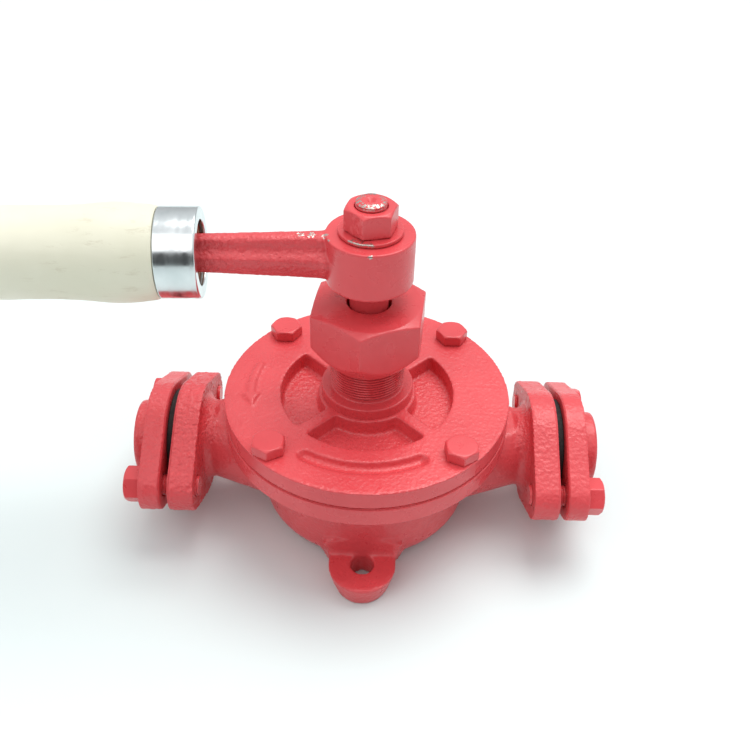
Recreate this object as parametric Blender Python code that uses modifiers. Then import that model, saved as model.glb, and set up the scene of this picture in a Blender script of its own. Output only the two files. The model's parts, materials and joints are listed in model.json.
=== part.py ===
"""Semi-rotary hand pump, lying on its back, with a separate named solid for each piece.

Metres, +Z up along the shaft. The origin is the centre of the casing's back face, at Z = 0.
The inlet is at +X and the outlet at -X. On a wall -X points up, and the lever swings about it.
"""

import math

import bmesh
import bpy
from mathutils import Matrix

# Casing
BODY_TOP = 0.0626
FLANGE_RADIUS = 0.0702
FLANGE_UNDERSIDE = 0.0531
BOWL_RADIUS = 0.0556
BOWL_FOOT_RADIUS = 0.0532
BOWL_ROUNDING = 0.0125
BOWL_FILLET = 0.0025
BACK_PAD_RADIUS = 0.0340
BACK_PAD_HEIGHT = 0.0030
CHAMBER_RADIUS = 0.0470
CHAMBER_FLOOR = 0.0110
FACING_RADIUS = 0.0760
FACING_HEIGHT = 0.0555
LUG_CENTRE = 0.0601
LUG_RADIUS = 0.0166
LUG_HEIGHT = 0.0130
LUG_HOLE_RADIUS = 0.0057
LUG_FILLET = 0.0085
LUG_FACET = 0.0536

# Ports and their flanges
PORT_HEIGHT = 0.0372
PORT_RADIUS = 0.0100
SOCKET_RADIUS = 0.0123
NECK_INNER = 0.0400
NECK_INNER_RADIUS = 0.0310
NECK_OUTER = 0.0840
NECK_OUTER_RADIUS = 0.0174
BODY_FACE = 0.0943
BODY_FLANGE_THICKNESS = 0.0124
COMPANION_FACE = 0.0980
COMPANION_THICKNESS = 0.0102
SOCKET_END = 0.1161
SOCKET_OUTER_RADIUS = 0.0186
OVAL_MIDDLE_RADIUS = 0.0290
OVAL_EAR_RADIUS = 0.0120
EAR_SPACING = 0.0341
JOINT_RING_RADIUS = 0.0250

# Cover and stuffing box
COVER_RADIUS = 0.0700
COVER_TOP = 0.0730
COVER_UNDERSIDE = 0.0634
SPIGOT_FACE = 0.0596
RING_RADIUS = 0.0240
SHOULDER_RADIUS = 0.0224
SHOULDER_TOP = 0.0787
RELIEF_RADIUS = 0.0171
RELIEF_TOP = 0.0800
THREAD_RADIUS = 0.0179
BOX_TOP = 0.1120
BOX_FLOOR = 0.0840
BOX_RADIUS = 0.0134
BUSH_SEAT_TOP = 0.0793
BUSH_RADIUS = 0.0117
REAR_BUSH_BOTTOM = 0.0038
POCKET_RADIUS = 0.0425
POCKET_FLOOR = 0.0650
RIB_WIDTH = 0.0066
RECESS_RADIUS = 0.0544
RECESS_WIDTH = 0.0066
RECESS_HALF_ANGLE = math.radians(29.0)
RECESS_FLOOR = 0.0695
BOLT_CIRCLE = 0.0620

# Fasteners
COVER_BOLT_RADIUS = 0.0037
COVER_BOLT_ACROSS = 0.0144
COVER_BOLT_HEAD = 0.0056
COVER_BOLT_END = 0.0540
FLANGE_BOLT_RADIUS = 0.0050
FLANGE_BOLT_ACROSS = 0.0160
FLANGE_BOLT_HEAD = 0.0078
FLANGE_BOLT_END = 0.0805
COVER_BOLT_TURNS = (31.0, 29.0, -1.0, 7.0)
FLANGE_BOLT_TURNS = (30.0, 12.0, 22.0, 0.0)
CROWN_SHARE = 0.475
CORNER_SLOPE = math.radians(30.0)

# Shaft and lever
REST_SWING = math.radians(3.0)
SHAFT_RADIUS = 0.0090
SHAFT_BOTTOM = 0.0042
SQUARE_BOTTOM = 0.1415
SQUARE_TOP = 0.1608
SQUARE_SIDE = 0.0138
STUD_RADIUS = 0.0069
STUD_CHAMFER = 0.0009
CENTRE_HOLE_RADIUS = 0.0018
SHAFT_TOP = 0.1773
HUB_RADIUS = 0.0197
HUB_BOTTOM = 0.1385
HUB_TOP = 0.1618
WASHER_RADIUS = 0.0143
WASHER_TOP = 0.1638
LEVER_NUT_ACROSS = 0.0210
LEVER_NUT_TOP = 0.1748
LEVER_NUT_TURN = math.radians(-15.3)
HANDLE_HEIGHT = 0.1515
ARM_START = 0.0120
ARM_START_DEPTH = 0.0220
ARM_START_WIDTH = 0.0175
ARM_START_DROP = 0.0009
ARM_END = 0.0747
ARM_END_DEPTH = 0.0172
ARM_END_WIDTH = 0.0135
ARM_ROUNDING = 0.0035
TANG_RADIUS = 0.0062
TANG_END = 0.1500
FERRULE_START = 0.0730
FERRULE_END = 0.0905
FERRULE_RADIUS = 0.0199
FERRULE_WALL = 0.0013
FERRULE_MOUTH_RADIUS = 0.0143
FERRULE_ROUNDING = 0.0008
HANDLE_START = 0.0755
HANDLE_END = 0.2160
GRIP_RADIUS = 0.0213
GRIP_WAIST = 0.0013
GRIP_SWELL = 0.0006
GRIP_END_ROUNDING = 0.0190

# Gland
GLAND_NUT_ACROSS = 0.0500
GLAND_NUT_BOTTOM = 0.0965
GLAND_NUT_FOOT_RADIUS = 0.0205
GLAND_NUT_LOWER_CORNER = 0.1074
GLAND_NUT_UPPER_CORNER = 0.1242
GLAND_NUT_CROWN_RADIUS = 0.0240
GLAND_NUT_TOP = 0.1260
GLAND_NUT_ROOF = 0.1188
GLAND_NUT_BORE = 0.0183
GLAND_NUT_HOLE = 0.0102
GLAND_NUT_TURN = math.radians(-6.4)
PACKING_HEIGHT = 0.0044
PACKING_COUNT = 3
COLLAR_BOTTOM = 0.1140
COLLAR_RADIUS = 0.0160

# Works inside the chamber
SEAT_ANGLE = math.radians(25.0)
VANE_ANGLE = math.radians(90.0)
WALL_THICKNESS = 0.0050
WING_HUB_RADIUS = 0.0140
SADDLE_RADIUS = 0.0146
SADDLE_OUTER_RADIUS = 0.0190
WORKS_CLEARANCE = 0.0006
WING_PIN_RADIUS = 0.0025
CLACK_PIN_DISTANCE = 0.0223
CLACK_PIN_OFFSET = 0.0052
CLACK_PIN_RADIUS = 0.0011
CLACK_BARREL_RADIUS = 0.0024
CLACK_TIP = 0.0430
CLACK_THICKNESS = 0.0020
CLACK_HALF_HEIGHT = 0.0148
EAR_THICKNESS = 0.0035
VALVE_PORT_START = 0.0258
VALVE_PORT_END = 0.0398
VALVE_PORT_HALF_HEIGHT = 0.0120

GAP = 0.0003
OVERRUN = 0.0100
OVERLAP = 0.0010
SLIVER = 0.00003
SHARP_ANGLE = math.radians(30.0)
FINE = 40
ROUND = 28
SMALL = 14
TINY = 8
ALONG_X = Matrix(((0, 0, 1, 0), (1, 0, 0, 0), (0, 1, 0, 0), (0, 0, 0, 1)))


def new_collection(name):
    made = bpy.data.collections.new(name)
    bpy.context.scene.collection.children.link(made)
    return made


for leftover in list(bpy.data.objects):
    bpy.data.objects.remove(leftover)
parts = new_collection("semi_rotary_hand_pump")
cutters = new_collection("cutters")


def material(name, colour, roughness, metallic=0.0):
    made = bpy.data.materials.new(name)
    made.use_nodes = True
    shader = made.node_tree.nodes["Principled BSDF"]
    shader.inputs["Base Color"].default_value = (*colour, 1.0)
    shader.inputs["Roughness"].default_value = roughness
    shader.inputs["Metallic"].default_value = metallic
    return made


red_enamel = material("red_enamel", (0.62, 0.035, 0.045), 0.35)
cream_paint = material("cream_paint", (0.72, 0.70, 0.60), 0.45)
bright_plate = material("bright_plate", (0.80, 0.80, 0.82), 0.12, 1.0)
dark_rubber = material("dark_rubber", (0.03, 0.03, 0.03), 0.70)
bare_steel = material("bare_steel", (0.45, 0.45, 0.46), 0.35, 1.0)
brass = material("brass", (0.70, 0.50, 0.22), 0.30, 1.0)
graphite_packing = material("graphite_packing", (0.08, 0.08, 0.085), 0.65)


def add(name, mesh, helper=False):
    item = bpy.data.objects.new(name, mesh)
    (cutters if helper else parts).objects.link(item)
    item.hide_render = helper
    item.display_type = "WIRE" if helper else "TEXTURED"
    return item


def empty_at(name, location, turn=0.0):
    made = bpy.data.objects.new(name, None)
    parts.objects.link(made)
    made.location = location
    made.rotation_euler = (0.0, 0.0, turn)
    return made


def shaded(mesh):
    mesh.shade_smooth()
    mesh.set_sharp_from_angle(angle=SHARP_ANGLE)
    return mesh


def turned(name, profile, steps=ROUND, ring=False, helper=False):
    """A shape turned about Z. Its (radius, height) points run down the outer side, then up a bore."""
    mesh = bpy.data.meshes.new(name)
    count = len(profile)
    edges = [(index, (index + 1) % count) for index in range(count if ring else count - 1)]
    mesh.from_pydata([(radius, 0.0, height) for radius, height in profile], edges, [])
    item = add(name, mesh, helper)
    screw = item.modifiers.new("turn", "SCREW")
    screw.steps = steps
    screw.render_steps = steps
    screw.use_merge_vertices = True
    screw.merge_threshold = 0.00001
    screw.use_smooth_shade = True
    return item


def tube(name, outer, inner, low, high, steps=ROUND, helper=False):
    return turned(name, [(outer, high), (outer, low), (inner, low), (inner, high)], steps, True, helper)


def rod(name, radius, low, high, steps=SMALL, top_radius=None, helper=True):
    """A closed cylinder or cone about Z."""
    shape = bmesh.new()
    bmesh.ops.create_cone(
        shape,
        cap_ends=True,
        segments=steps,
        radius1=radius,
        radius2=radius if top_radius is None else top_radius,
        depth=high - low,
        matrix=Matrix.Translation((0.0, 0.0, (low + high) / 2)),
    )
    return finished(name, shape, helper)


def block(name, low, high):
    """A box between two corners, as a helper."""
    shape = bmesh.new()
    centre = [(a + b) / 2 for a, b in zip(low, high)]
    size = [b - a for a, b in zip(low, high)]
    bmesh.ops.create_cube(shape, size=1.0, matrix=Matrix.Translation(centre) @ Matrix.Diagonal((*size, 1.0)))
    return finished(name, shape, True)


def finished(name, shape, helper):
    mesh = bpy.data.meshes.new(name)
    shape.to_mesh(mesh)
    shape.free()
    return add(name, shaded(mesh), helper)


def slab(name, outline, low, high, helper=True):
    """A closed outline in XY, filled, between two heights."""
    curve = bpy.data.curves.new(name + "_outline", "CURVE")
    curve.dimensions = "2D"
    curve.fill_mode = "BOTH"
    curve.extrude = (high - low) / 2
    spline = curve.splines.new("POLY")
    spline.points.add(len(outline) - 1)
    for point, (x, y) in zip(spline.points, outline):
        point.co = (x, y, 0.0, 1.0)
    spline.use_cyclic_u = True
    guide = add(name + "_outline", curve, True)
    mesh = baked(guide)
    shape = bmesh.new()
    shape.from_mesh(mesh)
    bmesh.ops.remove_doubles(shape, verts=shape.verts, dist=0.000001)
    bmesh.ops.recalc_face_normals(shape, faces=shape.faces)
    bmesh.ops.translate(shape, verts=shape.verts, vec=(0.0, 0.0, (low + high) / 2))
    bpy.data.meshes.remove(mesh)
    return finished(name, shape, helper)


def baked(item):
    """The item's shape with its modifiers applied, as a new mesh. The item itself is removed."""
    bpy.context.view_layer.update()
    graph = bpy.context.evaluated_depsgraph_get()
    mesh = bpy.data.meshes.new_from_object(item.evaluated_get(graph))
    helpers = [modifier.object for modifier in item.modifiers if modifier.type == "BOOLEAN"]
    for spent in [item, *helpers]:
        bpy.data.objects.remove(spent)
    return mesh


def combine(item, other, operation):
    modifier = item.modifiers.new(other.name, "BOOLEAN")
    modifier.operation = operation
    modifier.object = other
    modifier.solver = "EXACT"
    return item


def cut(item, *others):
    for other in others:
        combine(item, other, "DIFFERENCE")
    return item


def join(item, *others):
    for other in others:
        combine(item, other, "UNION")
    return item


def paint(item, finish, parent=None):
    """Gives a part its material and its parent."""
    if not item.data.materials:
        item.data.materials.append(finish)
    item.parent = parent
    for modifier in item.modifiers:
        if modifier.type == "BOOLEAN":
            modifier.object.parent = parent
    return item


def arc(radius, start, end, steps, centre=(0.0, 0.0)):
    """Points along an arc, both ends included, for angles in radians."""
    angles = [start + (end - start) * index / steps for index in range(steps + 1)]
    return [(centre[0] + radius * math.cos(a), centre[1] + radius * math.sin(a)) for a in angles]


def on_x(item, side=1, offset=(0.0, 0.0)):
    """Lays a shape made along Z on a port's axis: its own X along Y, its own Z outwards."""
    place = Matrix.Translation((0.0, offset[0], PORT_HEIGHT + offset[1]))
    flip = Matrix.Rotation(0.0 if side > 0 else math.pi, 4, "Z")
    item.matrix_world = place @ flip @ ALONG_X
    return item


# Casing --------------------------------------------------------------------------------------


def bowl_profile():
    rounding_centre = (BOWL_FOOT_RADIUS - BOWL_ROUNDING, BACK_PAD_HEIGHT + BOWL_ROUNDING)
    corner = arc(BOWL_ROUNDING, 0.0, -math.pi / 2, 4, rounding_centre)
    return [
        (0.0, BODY_TOP),
        (FLANGE_RADIUS, BODY_TOP),
        (FLANGE_RADIUS, FLANGE_UNDERSIDE),
        (BOWL_RADIUS + BOWL_FILLET, FLANGE_UNDERSIDE),
        (BOWL_RADIUS, FLANGE_UNDERSIDE - BOWL_FILLET),
        *corner,
        (BACK_PAD_RADIUS + BACK_PAD_HEIGHT, BACK_PAD_HEIGHT),
        (BACK_PAD_RADIUS, 0.0),
        (0.0, 0.0),
    ]


def oval_outline():
    """The flange's outline: a middle circle and two ear circles, joined by their tangents."""
    tangent = math.acos((OVAL_MIDDLE_RADIUS - OVAL_EAR_RADIUS) / EAR_SPACING)
    return [
        *arc(OVAL_EAR_RADIUS, -tangent, tangent, 9, (EAR_SPACING, 0.0)),
        *arc(OVAL_MIDDLE_RADIUS, tangent, math.pi - tangent, 8),
        *arc(OVAL_EAR_RADIUS, math.pi - tangent, math.pi + tangent, 9, (-EAR_SPACING, 0.0)),
        *arc(OVAL_MIDDLE_RADIUS, math.pi + tangent, 2 * math.pi - tangent, 8),
    ]


def lug_outline(end):
    """A lug with a round end, and a fillet on each side where it leaves the bowl."""
    fillet_x = LUG_RADIUS + LUG_FILLET
    fillet_y = math.sqrt((BOWL_FOOT_RADIUS + LUG_FILLET) ** 2 - fillet_x**2)
    lean = math.atan2(fillet_y, fillet_x)
    fillet = arc(LUG_FILLET, math.pi + lean, math.pi, 4, (fillet_x, fillet_y))
    rounded = arc(LUG_RADIUS, 0.0, math.pi, 10, (0.0, LUG_CENTRE))
    root = BACK_PAD_RADIUS / 2
    right = [(fillet[0][0], root), *fillet]
    left = [(-x, y) for x, y in reversed(right)]
    return [(x, end * y) for x, y in [*right, *rounded, *left]]


def lug_facet(end):
    """The flat that gives a bolt's head room on the bowl's wall over a lug."""
    low = (-LUG_RADIUS - LUG_FILLET, LUG_FACET, LUG_HEIGHT)
    high = (LUG_RADIUS + LUG_FILLET, LUG_CENTRE, FLANGE_UNDERSIDE - BOWL_FILLET)
    item = block(f"lug_facet_{end}", low, high)
    item.data.transform(Matrix.Rotation(0.0 if end > 0 else math.pi, 4, "Z"))
    return item


def neck(side):
    """A port's neck, faced off near the cover to let the flange rim be turned."""
    name = "neck_" + side_name(side)
    item = rod(name, NECK_INNER_RADIUS, NECK_INNER, NECK_OUTER, ROUND, NECK_OUTER_RADIUS)
    on_x(item, side)
    facing = rod(name + "_facing", FACING_RADIUS, FACING_HEIGHT, BODY_TOP + OVERRUN, FINE)
    return cut(item, facing)


def side_name(side):
    return "inlet" if side > 0 else "outlet"


def cover_bolt_places():
    quarter = math.pi / 2
    angles = [math.pi / 4 + quarter * index for index in range(4)]
    return [(BOLT_CIRCLE * math.cos(a), BOLT_CIRCLE * math.sin(a)) for a in angles]


def cover_bolt_holes(name, low, high):
    holes = []
    for number, (x, y) in enumerate(cover_bolt_places(), 1):
        hole = rod(f"{name}_bolt_hole_{number}", COVER_BOLT_RADIUS + GAP, low, high)
        hole.location = (x, y, 0.0)
        holes.append(hole)
    return holes


def ear_holes(name, side, low, high):
    holes = []
    for number, spacing in enumerate((-EAR_SPACING, EAR_SPACING), 1):
        hole = rod(f"{name}_hole_{number}", FLANGE_BOLT_RADIUS + GAP, low, high)
        holes.append(on_x(hole, side, (spacing, 0.0)))
    return holes


def pump_body():
    item = turned("pump_body", bowl_profile(), FINE)
    for side in (-1, 1):
        plate = slab(f"{side_name(side)}_oval", oval_outline(), BODY_FACE - BODY_FLANGE_THICKNESS, BODY_FACE)
        join(item, neck(side), on_x(plate, side))
    for end in (-1, 1):
        number = (end + 3) // 2
        cut(item, lug_facet(end))
        join(item, slab(f"lug_{number}", lug_outline(end), 0.0, LUG_HEIGHT))
        hole = rod(f"lug_hole_{number}", LUG_HOLE_RADIUS, -OVERRUN, LUG_HEIGHT + OVERRUN)
        hole.location = (0.0, end * LUG_CENTRE, 0.0)
        cut(item, hole)
    cut(item, rod("chamber", CHAMBER_RADIUS, CHAMBER_FLOOR, BODY_TOP + OVERRUN, FINE))
    seat_bottom = REAR_BUSH_BOTTOM - GAP
    cut(item, rod("rear_bush_seat", BUSH_RADIUS + GAP, seat_bottom, CHAMBER_FLOOR + OVERRUN, ROUND))
    cut(item, on_x(rod("ports", PORT_RADIUS, -BODY_FACE - OVERRUN, BODY_FACE + OVERRUN, ROUND)))
    cut(item, *cover_bolt_holes("body", FLANGE_UNDERSIDE - OVERRUN, BODY_TOP + OVERRUN))
    for side in (-1, 1):
        inner = BODY_FACE - BODY_FLANGE_THICKNESS - OVERRUN
        cut(item, *ear_holes(side_name(side) + "_ear", side, inner, BODY_FACE + OVERRUN))
    paint(item, red_enamel)


def cover_profile():
    return [
        (THREAD_RADIUS, BOX_TOP),
        (THREAD_RADIUS, RELIEF_TOP),
        (RELIEF_RADIUS, RELIEF_TOP),
        (RELIEF_RADIUS, SHOULDER_TOP),
        (SHOULDER_RADIUS, SHOULDER_TOP),
        (SHOULDER_RADIUS, COVER_TOP),
        (COVER_RADIUS, COVER_TOP),
        (COVER_RADIUS, COVER_UNDERSIDE),
        (CHAMBER_RADIUS - GAP, COVER_UNDERSIDE),
        (CHAMBER_RADIUS - GAP, SPIGOT_FACE),
        (BUSH_RADIUS + GAP, SPIGOT_FACE),
        (BUSH_RADIUS + GAP, BUSH_SEAT_TOP),
        (SHAFT_RADIUS + 2 * GAP, BUSH_SEAT_TOP),
        (SHAFT_RADIUS + 2 * GAP, BOX_FLOOR),
        (BOX_RADIUS, BOX_FLOOR),
        (BOX_RADIUS, BOX_TOP),
    ]


def pocket_outline(turn):
    """One of four pockets, between two parallel-sided ribs on the diagonals."""
    half_rib = RIB_WIDTH / 2
    outer = math.pi / 4 - math.asin(half_rib / POCKET_RADIUS)
    inner = math.pi / 4 - math.asin(half_rib / RING_RADIUS)
    points = arc(POCKET_RADIUS, turn - outer, turn + outer, 10)
    return points + arc(RING_RADIUS, turn + inner, turn - inner, 5)


def recess_outline():
    """An arc-shaped recess with round ends, on the -Y side."""
    middle = -math.pi / 2
    start = middle - RECESS_HALF_ANGLE
    end = middle + RECESS_HALF_ANGLE
    half = RECESS_WIDTH / 2
    start_centre = (RECESS_RADIUS * math.cos(start), RECESS_RADIUS * math.sin(start))
    end_centre = (RECESS_RADIUS * math.cos(end), RECESS_RADIUS * math.sin(end))
    return [
        *arc(RECESS_RADIUS + half, start, end, 8)[1:-1],
        *arc(half, end, end + math.pi, 5, end_centre),
        *arc(RECESS_RADIUS - half, end, start, 8)[1:-1],
        *arc(half, start + math.pi, start + 2 * math.pi, 5, start_centre),
    ]


def front_cover():
    item = turned("front_cover", cover_profile(), FINE, ring=True)
    for number in range(4):
        outline = pocket_outline(number * math.pi / 2)
        cut(item, slab(f"pocket_{number + 1}", outline, POCKET_FLOOR, COVER_TOP + OVERRUN))
    cut(item, slab("recess", recess_outline(), RECESS_FLOOR, COVER_TOP + OVERRUN))
    cut(item, *cover_bolt_holes("cover", SPIGOT_FACE - OVERRUN, COVER_TOP + OVERRUN))
    paint(item, red_enamel)


def cover_gasket():
    gap = (COVER_UNDERSIDE - BODY_TOP - GAP) / 2
    low = BODY_TOP + gap
    item = tube("cover_gasket", COVER_RADIUS - GAP, CHAMBER_RADIUS + GAP, low, low + GAP, FINE)
    cut(item, *cover_bolt_holes("gasket", low - OVERRUN, low + OVERRUN))
    paint(item, dark_rubber)


# Fasteners -----------------------------------------------------------------------------------


def hexagon(name, across, low, high):
    """A hexagonal prism about Z with its upper corners turned off, as a helper."""
    corner = across / math.sqrt(3)
    item = rod(name, corner, low, high, 6)
    crown = across * CROWN_SHARE
    depth = (corner - crown) * math.tan(CORNER_SLOPE)
    wide = corner + OVERRUN
    profile = [
        (0.0, high),
        (crown, high),
        (corner, high - depth),
        (wide, high - depth),
        (wide, low - OVERRUN),
        (0.0, low - OVERRUN),
    ]
    combine(item, turned(name + "_chamfer", profile, ROUND, helper=True), "INTERSECT")
    return item


def bolt_mesh(name, across, head, radius, length):
    """A hexagon bolt with its head on Z = 0 and its shank below."""
    item = hexagon(name, across, 0.0, head)
    join(item, rod(name + "_shank", radius, -length, head / 2))
    return shaded(baked(item))


def cover_bolts():
    seat = COVER_TOP + GAP
    mesh = bolt_mesh("cover_bolt", COVER_BOLT_ACROSS, COVER_BOLT_HEAD, COVER_BOLT_RADIUS, seat - COVER_BOLT_END)
    for number, (x, y) in enumerate(cover_bolt_places(), 1):
        item = paint(add(f"cover_bolt_{number}", mesh), red_enamel)
        item.location = (x, y, seat)
        item.rotation_euler = (0.0, 0.0, math.radians(COVER_BOLT_TURNS[number - 1]))


def flange_bolts():
    seat = COMPANION_FACE + COMPANION_THICKNESS + GAP
    length = seat - FLANGE_BOLT_END
    mesh = bolt_mesh("flange_bolt", FLANGE_BOLT_ACROSS, FLANGE_BOLT_HEAD, FLANGE_BOLT_RADIUS, length)
    number = 0
    for side in (-1, 1):
        for spacing in (-EAR_SPACING, EAR_SPACING):
            number += 1
            item = paint(add(f"flange_bolt_{number}", mesh), red_enamel)
            on_x(item, side, (spacing, 0.0))
            outwards = Matrix.Translation((0.0, 0.0, seat))
            turn = Matrix.Rotation(math.radians(FLANGE_BOLT_TURNS[number - 1]), 4, "Z")
            item.matrix_world = item.matrix_world @ outwards @ turn


def companion_flange(side):
    name = side_name(side) + "_flange"
    outer = COMPANION_FACE + COMPANION_THICKNESS
    item = slab(name, oval_outline(), COMPANION_FACE, outer, helper=False)
    join(item, rod(name + "_socket", SOCKET_OUTER_RADIUS, outer - COMPANION_THICKNESS / 2, SOCKET_END, ROUND))
    bore = rod(name + "_bore", SOCKET_RADIUS, COMPANION_FACE - OVERRUN, SOCKET_END + OVERRUN, ROUND)
    cut(item, bore)
    for helper in [modifier.object for modifier in item.modifiers]:
        on_x(helper, side)
    cut(item, *ear_holes(name, side, COMPANION_FACE - OVERRUN, outer + OVERRUN))
    paint(item, red_enamel)
    on_x(item, side)


def joint_ring(side):
    name = side_name(side) + "_gasket"
    low = BODY_FACE + GAP
    item = tube(name, JOINT_RING_RADIUS, SOCKET_RADIUS, low, COMPANION_FACE - GAP)
    paint(item, dark_rubber)
    on_x(item, side)


# Works inside the chamber --------------------------------------------------------------------


def works_low():
    return CHAMBER_FLOOR + WORKS_CLEARANCE


def works_high():
    return SPIGOT_FACE - WORKS_CLEARANCE


def works_middle():
    return (works_low() + works_high()) / 2


def station(angle, side):
    """Frame of one valve: X out from the shaft along its wall, Y off the wall on its open side."""
    mirror = Matrix.Diagonal((1.0, side, 1.0, 1.0))
    return mirror @ Matrix.Rotation(angle, 4, "Z")


def at_station(item, angle, side):
    """Places a shape made in a valve's frame. A mirrored shape keeps its faces pointing out."""
    item.data.transform(station(angle, side))
    if side < 0:
        item.data.flip_normals()
    return item


def valve_features(name, angle, side):
    """Pin ears to join to a wall, then the port and pin bore to cut from it."""
    ears = []
    inner = CLACK_HALF_HEIGHT + GAP
    for number, low in enumerate((-inner - EAR_THICKNESS, inner), 1):
        bottom = works_middle() + low
        top = bottom + EAR_THICKNESS
        boss = rod(f"{name}_ear_{number}", CLACK_BARREL_RADIUS, bottom, top, TINY)
        boss.data.transform(Matrix.Translation((CLACK_PIN_DISTANCE, CLACK_PIN_OFFSET, 0.0)))
        web_low = (CLACK_PIN_DISTANCE - CLACK_BARREL_RADIUS, 0.0, bottom + SLIVER)
        web_high = (CLACK_PIN_DISTANCE + CLACK_BARREL_RADIUS, CLACK_PIN_OFFSET, top - SLIVER)
        web = block(f"{name}_web_{number}", web_low, web_high)
        ears += [at_station(web, angle, side), at_station(boss, angle, side)]
    port_low = (VALVE_PORT_START, -WALL_THICKNESS, works_middle() - VALVE_PORT_HALF_HEIGHT)
    port_high = (VALVE_PORT_END, WALL_THICKNESS, works_middle() + VALVE_PORT_HALF_HEIGHT)
    port = at_station(block(name + "_port", port_low, port_high), angle, side)
    reach = CLACK_HALF_HEIGHT + 2 * EAR_THICKNESS
    low = works_middle() - reach
    bore = rod(name + "_bore", CLACK_PIN_RADIUS + GAP, low, low + 2 * reach, TINY)
    bore.data.transform(Matrix.Translation((CLACK_PIN_DISTANCE, CLACK_PIN_OFFSET, 0.0)))
    return ears, [port, at_station(bore, angle, side)]


def partition_outline():
    """A V of two walls from the saddle round the wing's hub to the chamber wall."""
    half = WALL_THICKNESS / 2
    rim = CHAMBER_RADIUS - GAP
    saddle = SEAT_ANGLE + math.asin(half / SADDLE_RADIUS)
    back = SEAT_ANGLE - math.asin(half / SADDLE_OUTER_RADIUS)
    lean = math.asin(half / rim)
    outer_end = SEAT_ANGLE + lean
    inner_end = SEAT_ANGLE - lean
    return [
        *arc(rim, outer_end, inner_end, 1),
        *arc(SADDLE_OUTER_RADIUS, back, -back, 8),
        *arc(rim, -inner_end, -outer_end, 1),
        *arc(SADDLE_RADIUS, -saddle, saddle, 12),
    ]


def partition():
    item = slab("partition", partition_outline(), works_low(), works_high(), helper=False)
    for side in (1, -1):
        ears, openings = valve_features("seat_inlet" + str(side), SEAT_ANGLE, side)
        join(item, *ears)
        cut(item, *openings)
    paint(item, brass)


def wing(rotor):
    item = tube("wing", WING_HUB_RADIUS, SHAFT_RADIUS + GAP, works_low(), works_high())
    half = WALL_THICKNESS / 2
    reach = CHAMBER_RADIUS - WORKS_CLEARANCE
    root = (WING_HUB_RADIUS + SHAFT_RADIUS) / 2
    for side in (1, -1):
        low = (root, -half, works_low() + SLIVER)
        high = (reach, half, works_high() - SLIVER)
        join(item, at_station(block("vane" + str(side), low, high), VANE_ANGLE, side))
    for side in (1, -1):
        ears, openings = valve_features("vane_valve" + str(side), VANE_ANGLE, side)
        join(item, *ears)
        cut(item, *openings)
    cut(item, cross_hole("wing_cross_hole"))
    paint(item, brass, rotor)


def cross_hole(name):
    """The wing pin's hole, along X through the hub and the shaft."""
    item = rod(name, WING_PIN_RADIUS + GAP, -WING_HUB_RADIUS - OVERRUN, WING_HUB_RADIUS + OVERRUN)
    item.matrix_world = Matrix.Translation((0.0, 0.0, works_middle())) @ ALONG_X
    return item


def wing_pin(rotor):
    half = WING_HUB_RADIUS - GAP
    item = paint(rod("wing_pin", WING_PIN_RADIUS, -half, half, helper=False), bare_steel, rotor)
    item.matrix_local = Matrix.Translation((0.0, 0.0, works_middle())) @ ALONG_X


def clack_mesh(side):
    """A flap with its hinge barrel on the Z axis."""
    name = "clack" + str(side)
    low = works_middle() - CLACK_HALF_HEIGHT
    high = works_middle() + CLACK_HALF_HEIGHT
    item = rod(name, CLACK_BARREL_RADIUS, low, high, TINY)
    bottom = WALL_THICKNESS / 2 + GAP - CLACK_PIN_OFFSET
    flap_low = (0.0, bottom, low + SLIVER)
    flap_high = (CLACK_TIP - CLACK_PIN_DISTANCE, bottom + CLACK_THICKNESS, high - SLIVER)
    join(item, block(name + "_flap", flap_low, flap_high))
    cut(item, rod(name + "_bore", CLACK_PIN_RADIUS + GAP, low - OVERRUN, high + OVERRUN, TINY))
    mesh = baked(item)
    if side < 0:
        mesh.transform(Matrix.Diagonal((1.0, -1.0, 1.0, 1.0)))
        mesh.flip_normals()
    return shaded(mesh)


def valves(kind, angle, first_pin, parent):
    """The two flaps of the seat or of the wing, each on its own pin."""
    for number, side in enumerate((1, -1), 1):
        hinge = station(angle, side) @ Matrix.Translation((CLACK_PIN_DISTANCE, CLACK_PIN_OFFSET, 0.0))
        axis = empty_at(f"{kind}_{number}_axis", hinge.to_translation(), side * angle)
        axis.parent = parent
        item = paint(add(f"{kind}_{number}", clack_mesh(side)), brass)
        item.parent = axis
        reach = CLACK_HALF_HEIGHT + EAR_THICKNESS
        low = works_middle() - reach
        high = works_middle() + reach
        pin = rod(f"clack_pin_{first_pin + number - 1}", CLACK_PIN_RADIUS, low, high, TINY, helper=False)
        paint(pin, bare_steel, axis)


# Shaft, bearings and gland --------------------------------------------------------------------


def shaft(rotor):
    item = rod("shaft", SHAFT_RADIUS, SHAFT_BOTTOM, SQUARE_BOTTOM, ROUND, helper=False)
    half = SQUARE_SIDE / 2
    square = block("shaft_square", (-half, -half, SQUARE_BOTTOM - OVERLAP), (half, half, SQUARE_TOP))
    corners = rod("shaft_square_corners", SHAFT_RADIUS - GAP / 2, SQUARE_BOTTOM - OVERRUN, SHAFT_TOP, ROUND)
    combine(square, corners, "INTERSECT")
    stud = turned(
        "shaft_stud",
        [
            (0.0, SHAFT_TOP - CENTRE_HOLE_RADIUS),
            (CENTRE_HOLE_RADIUS, SHAFT_TOP),
            (STUD_RADIUS - STUD_CHAMFER, SHAFT_TOP),
            (STUD_RADIUS, SHAFT_TOP - STUD_CHAMFER),
            (STUD_RADIUS, SQUARE_TOP - OVERLAP),
            (0.0, SQUARE_TOP - OVERLAP),
        ],
        ROUND,
        helper=True,
    )
    join(item, square, stud)
    cut(item, cross_hole("shaft_cross_hole"))
    paint(item, bare_steel, rotor)


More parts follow.
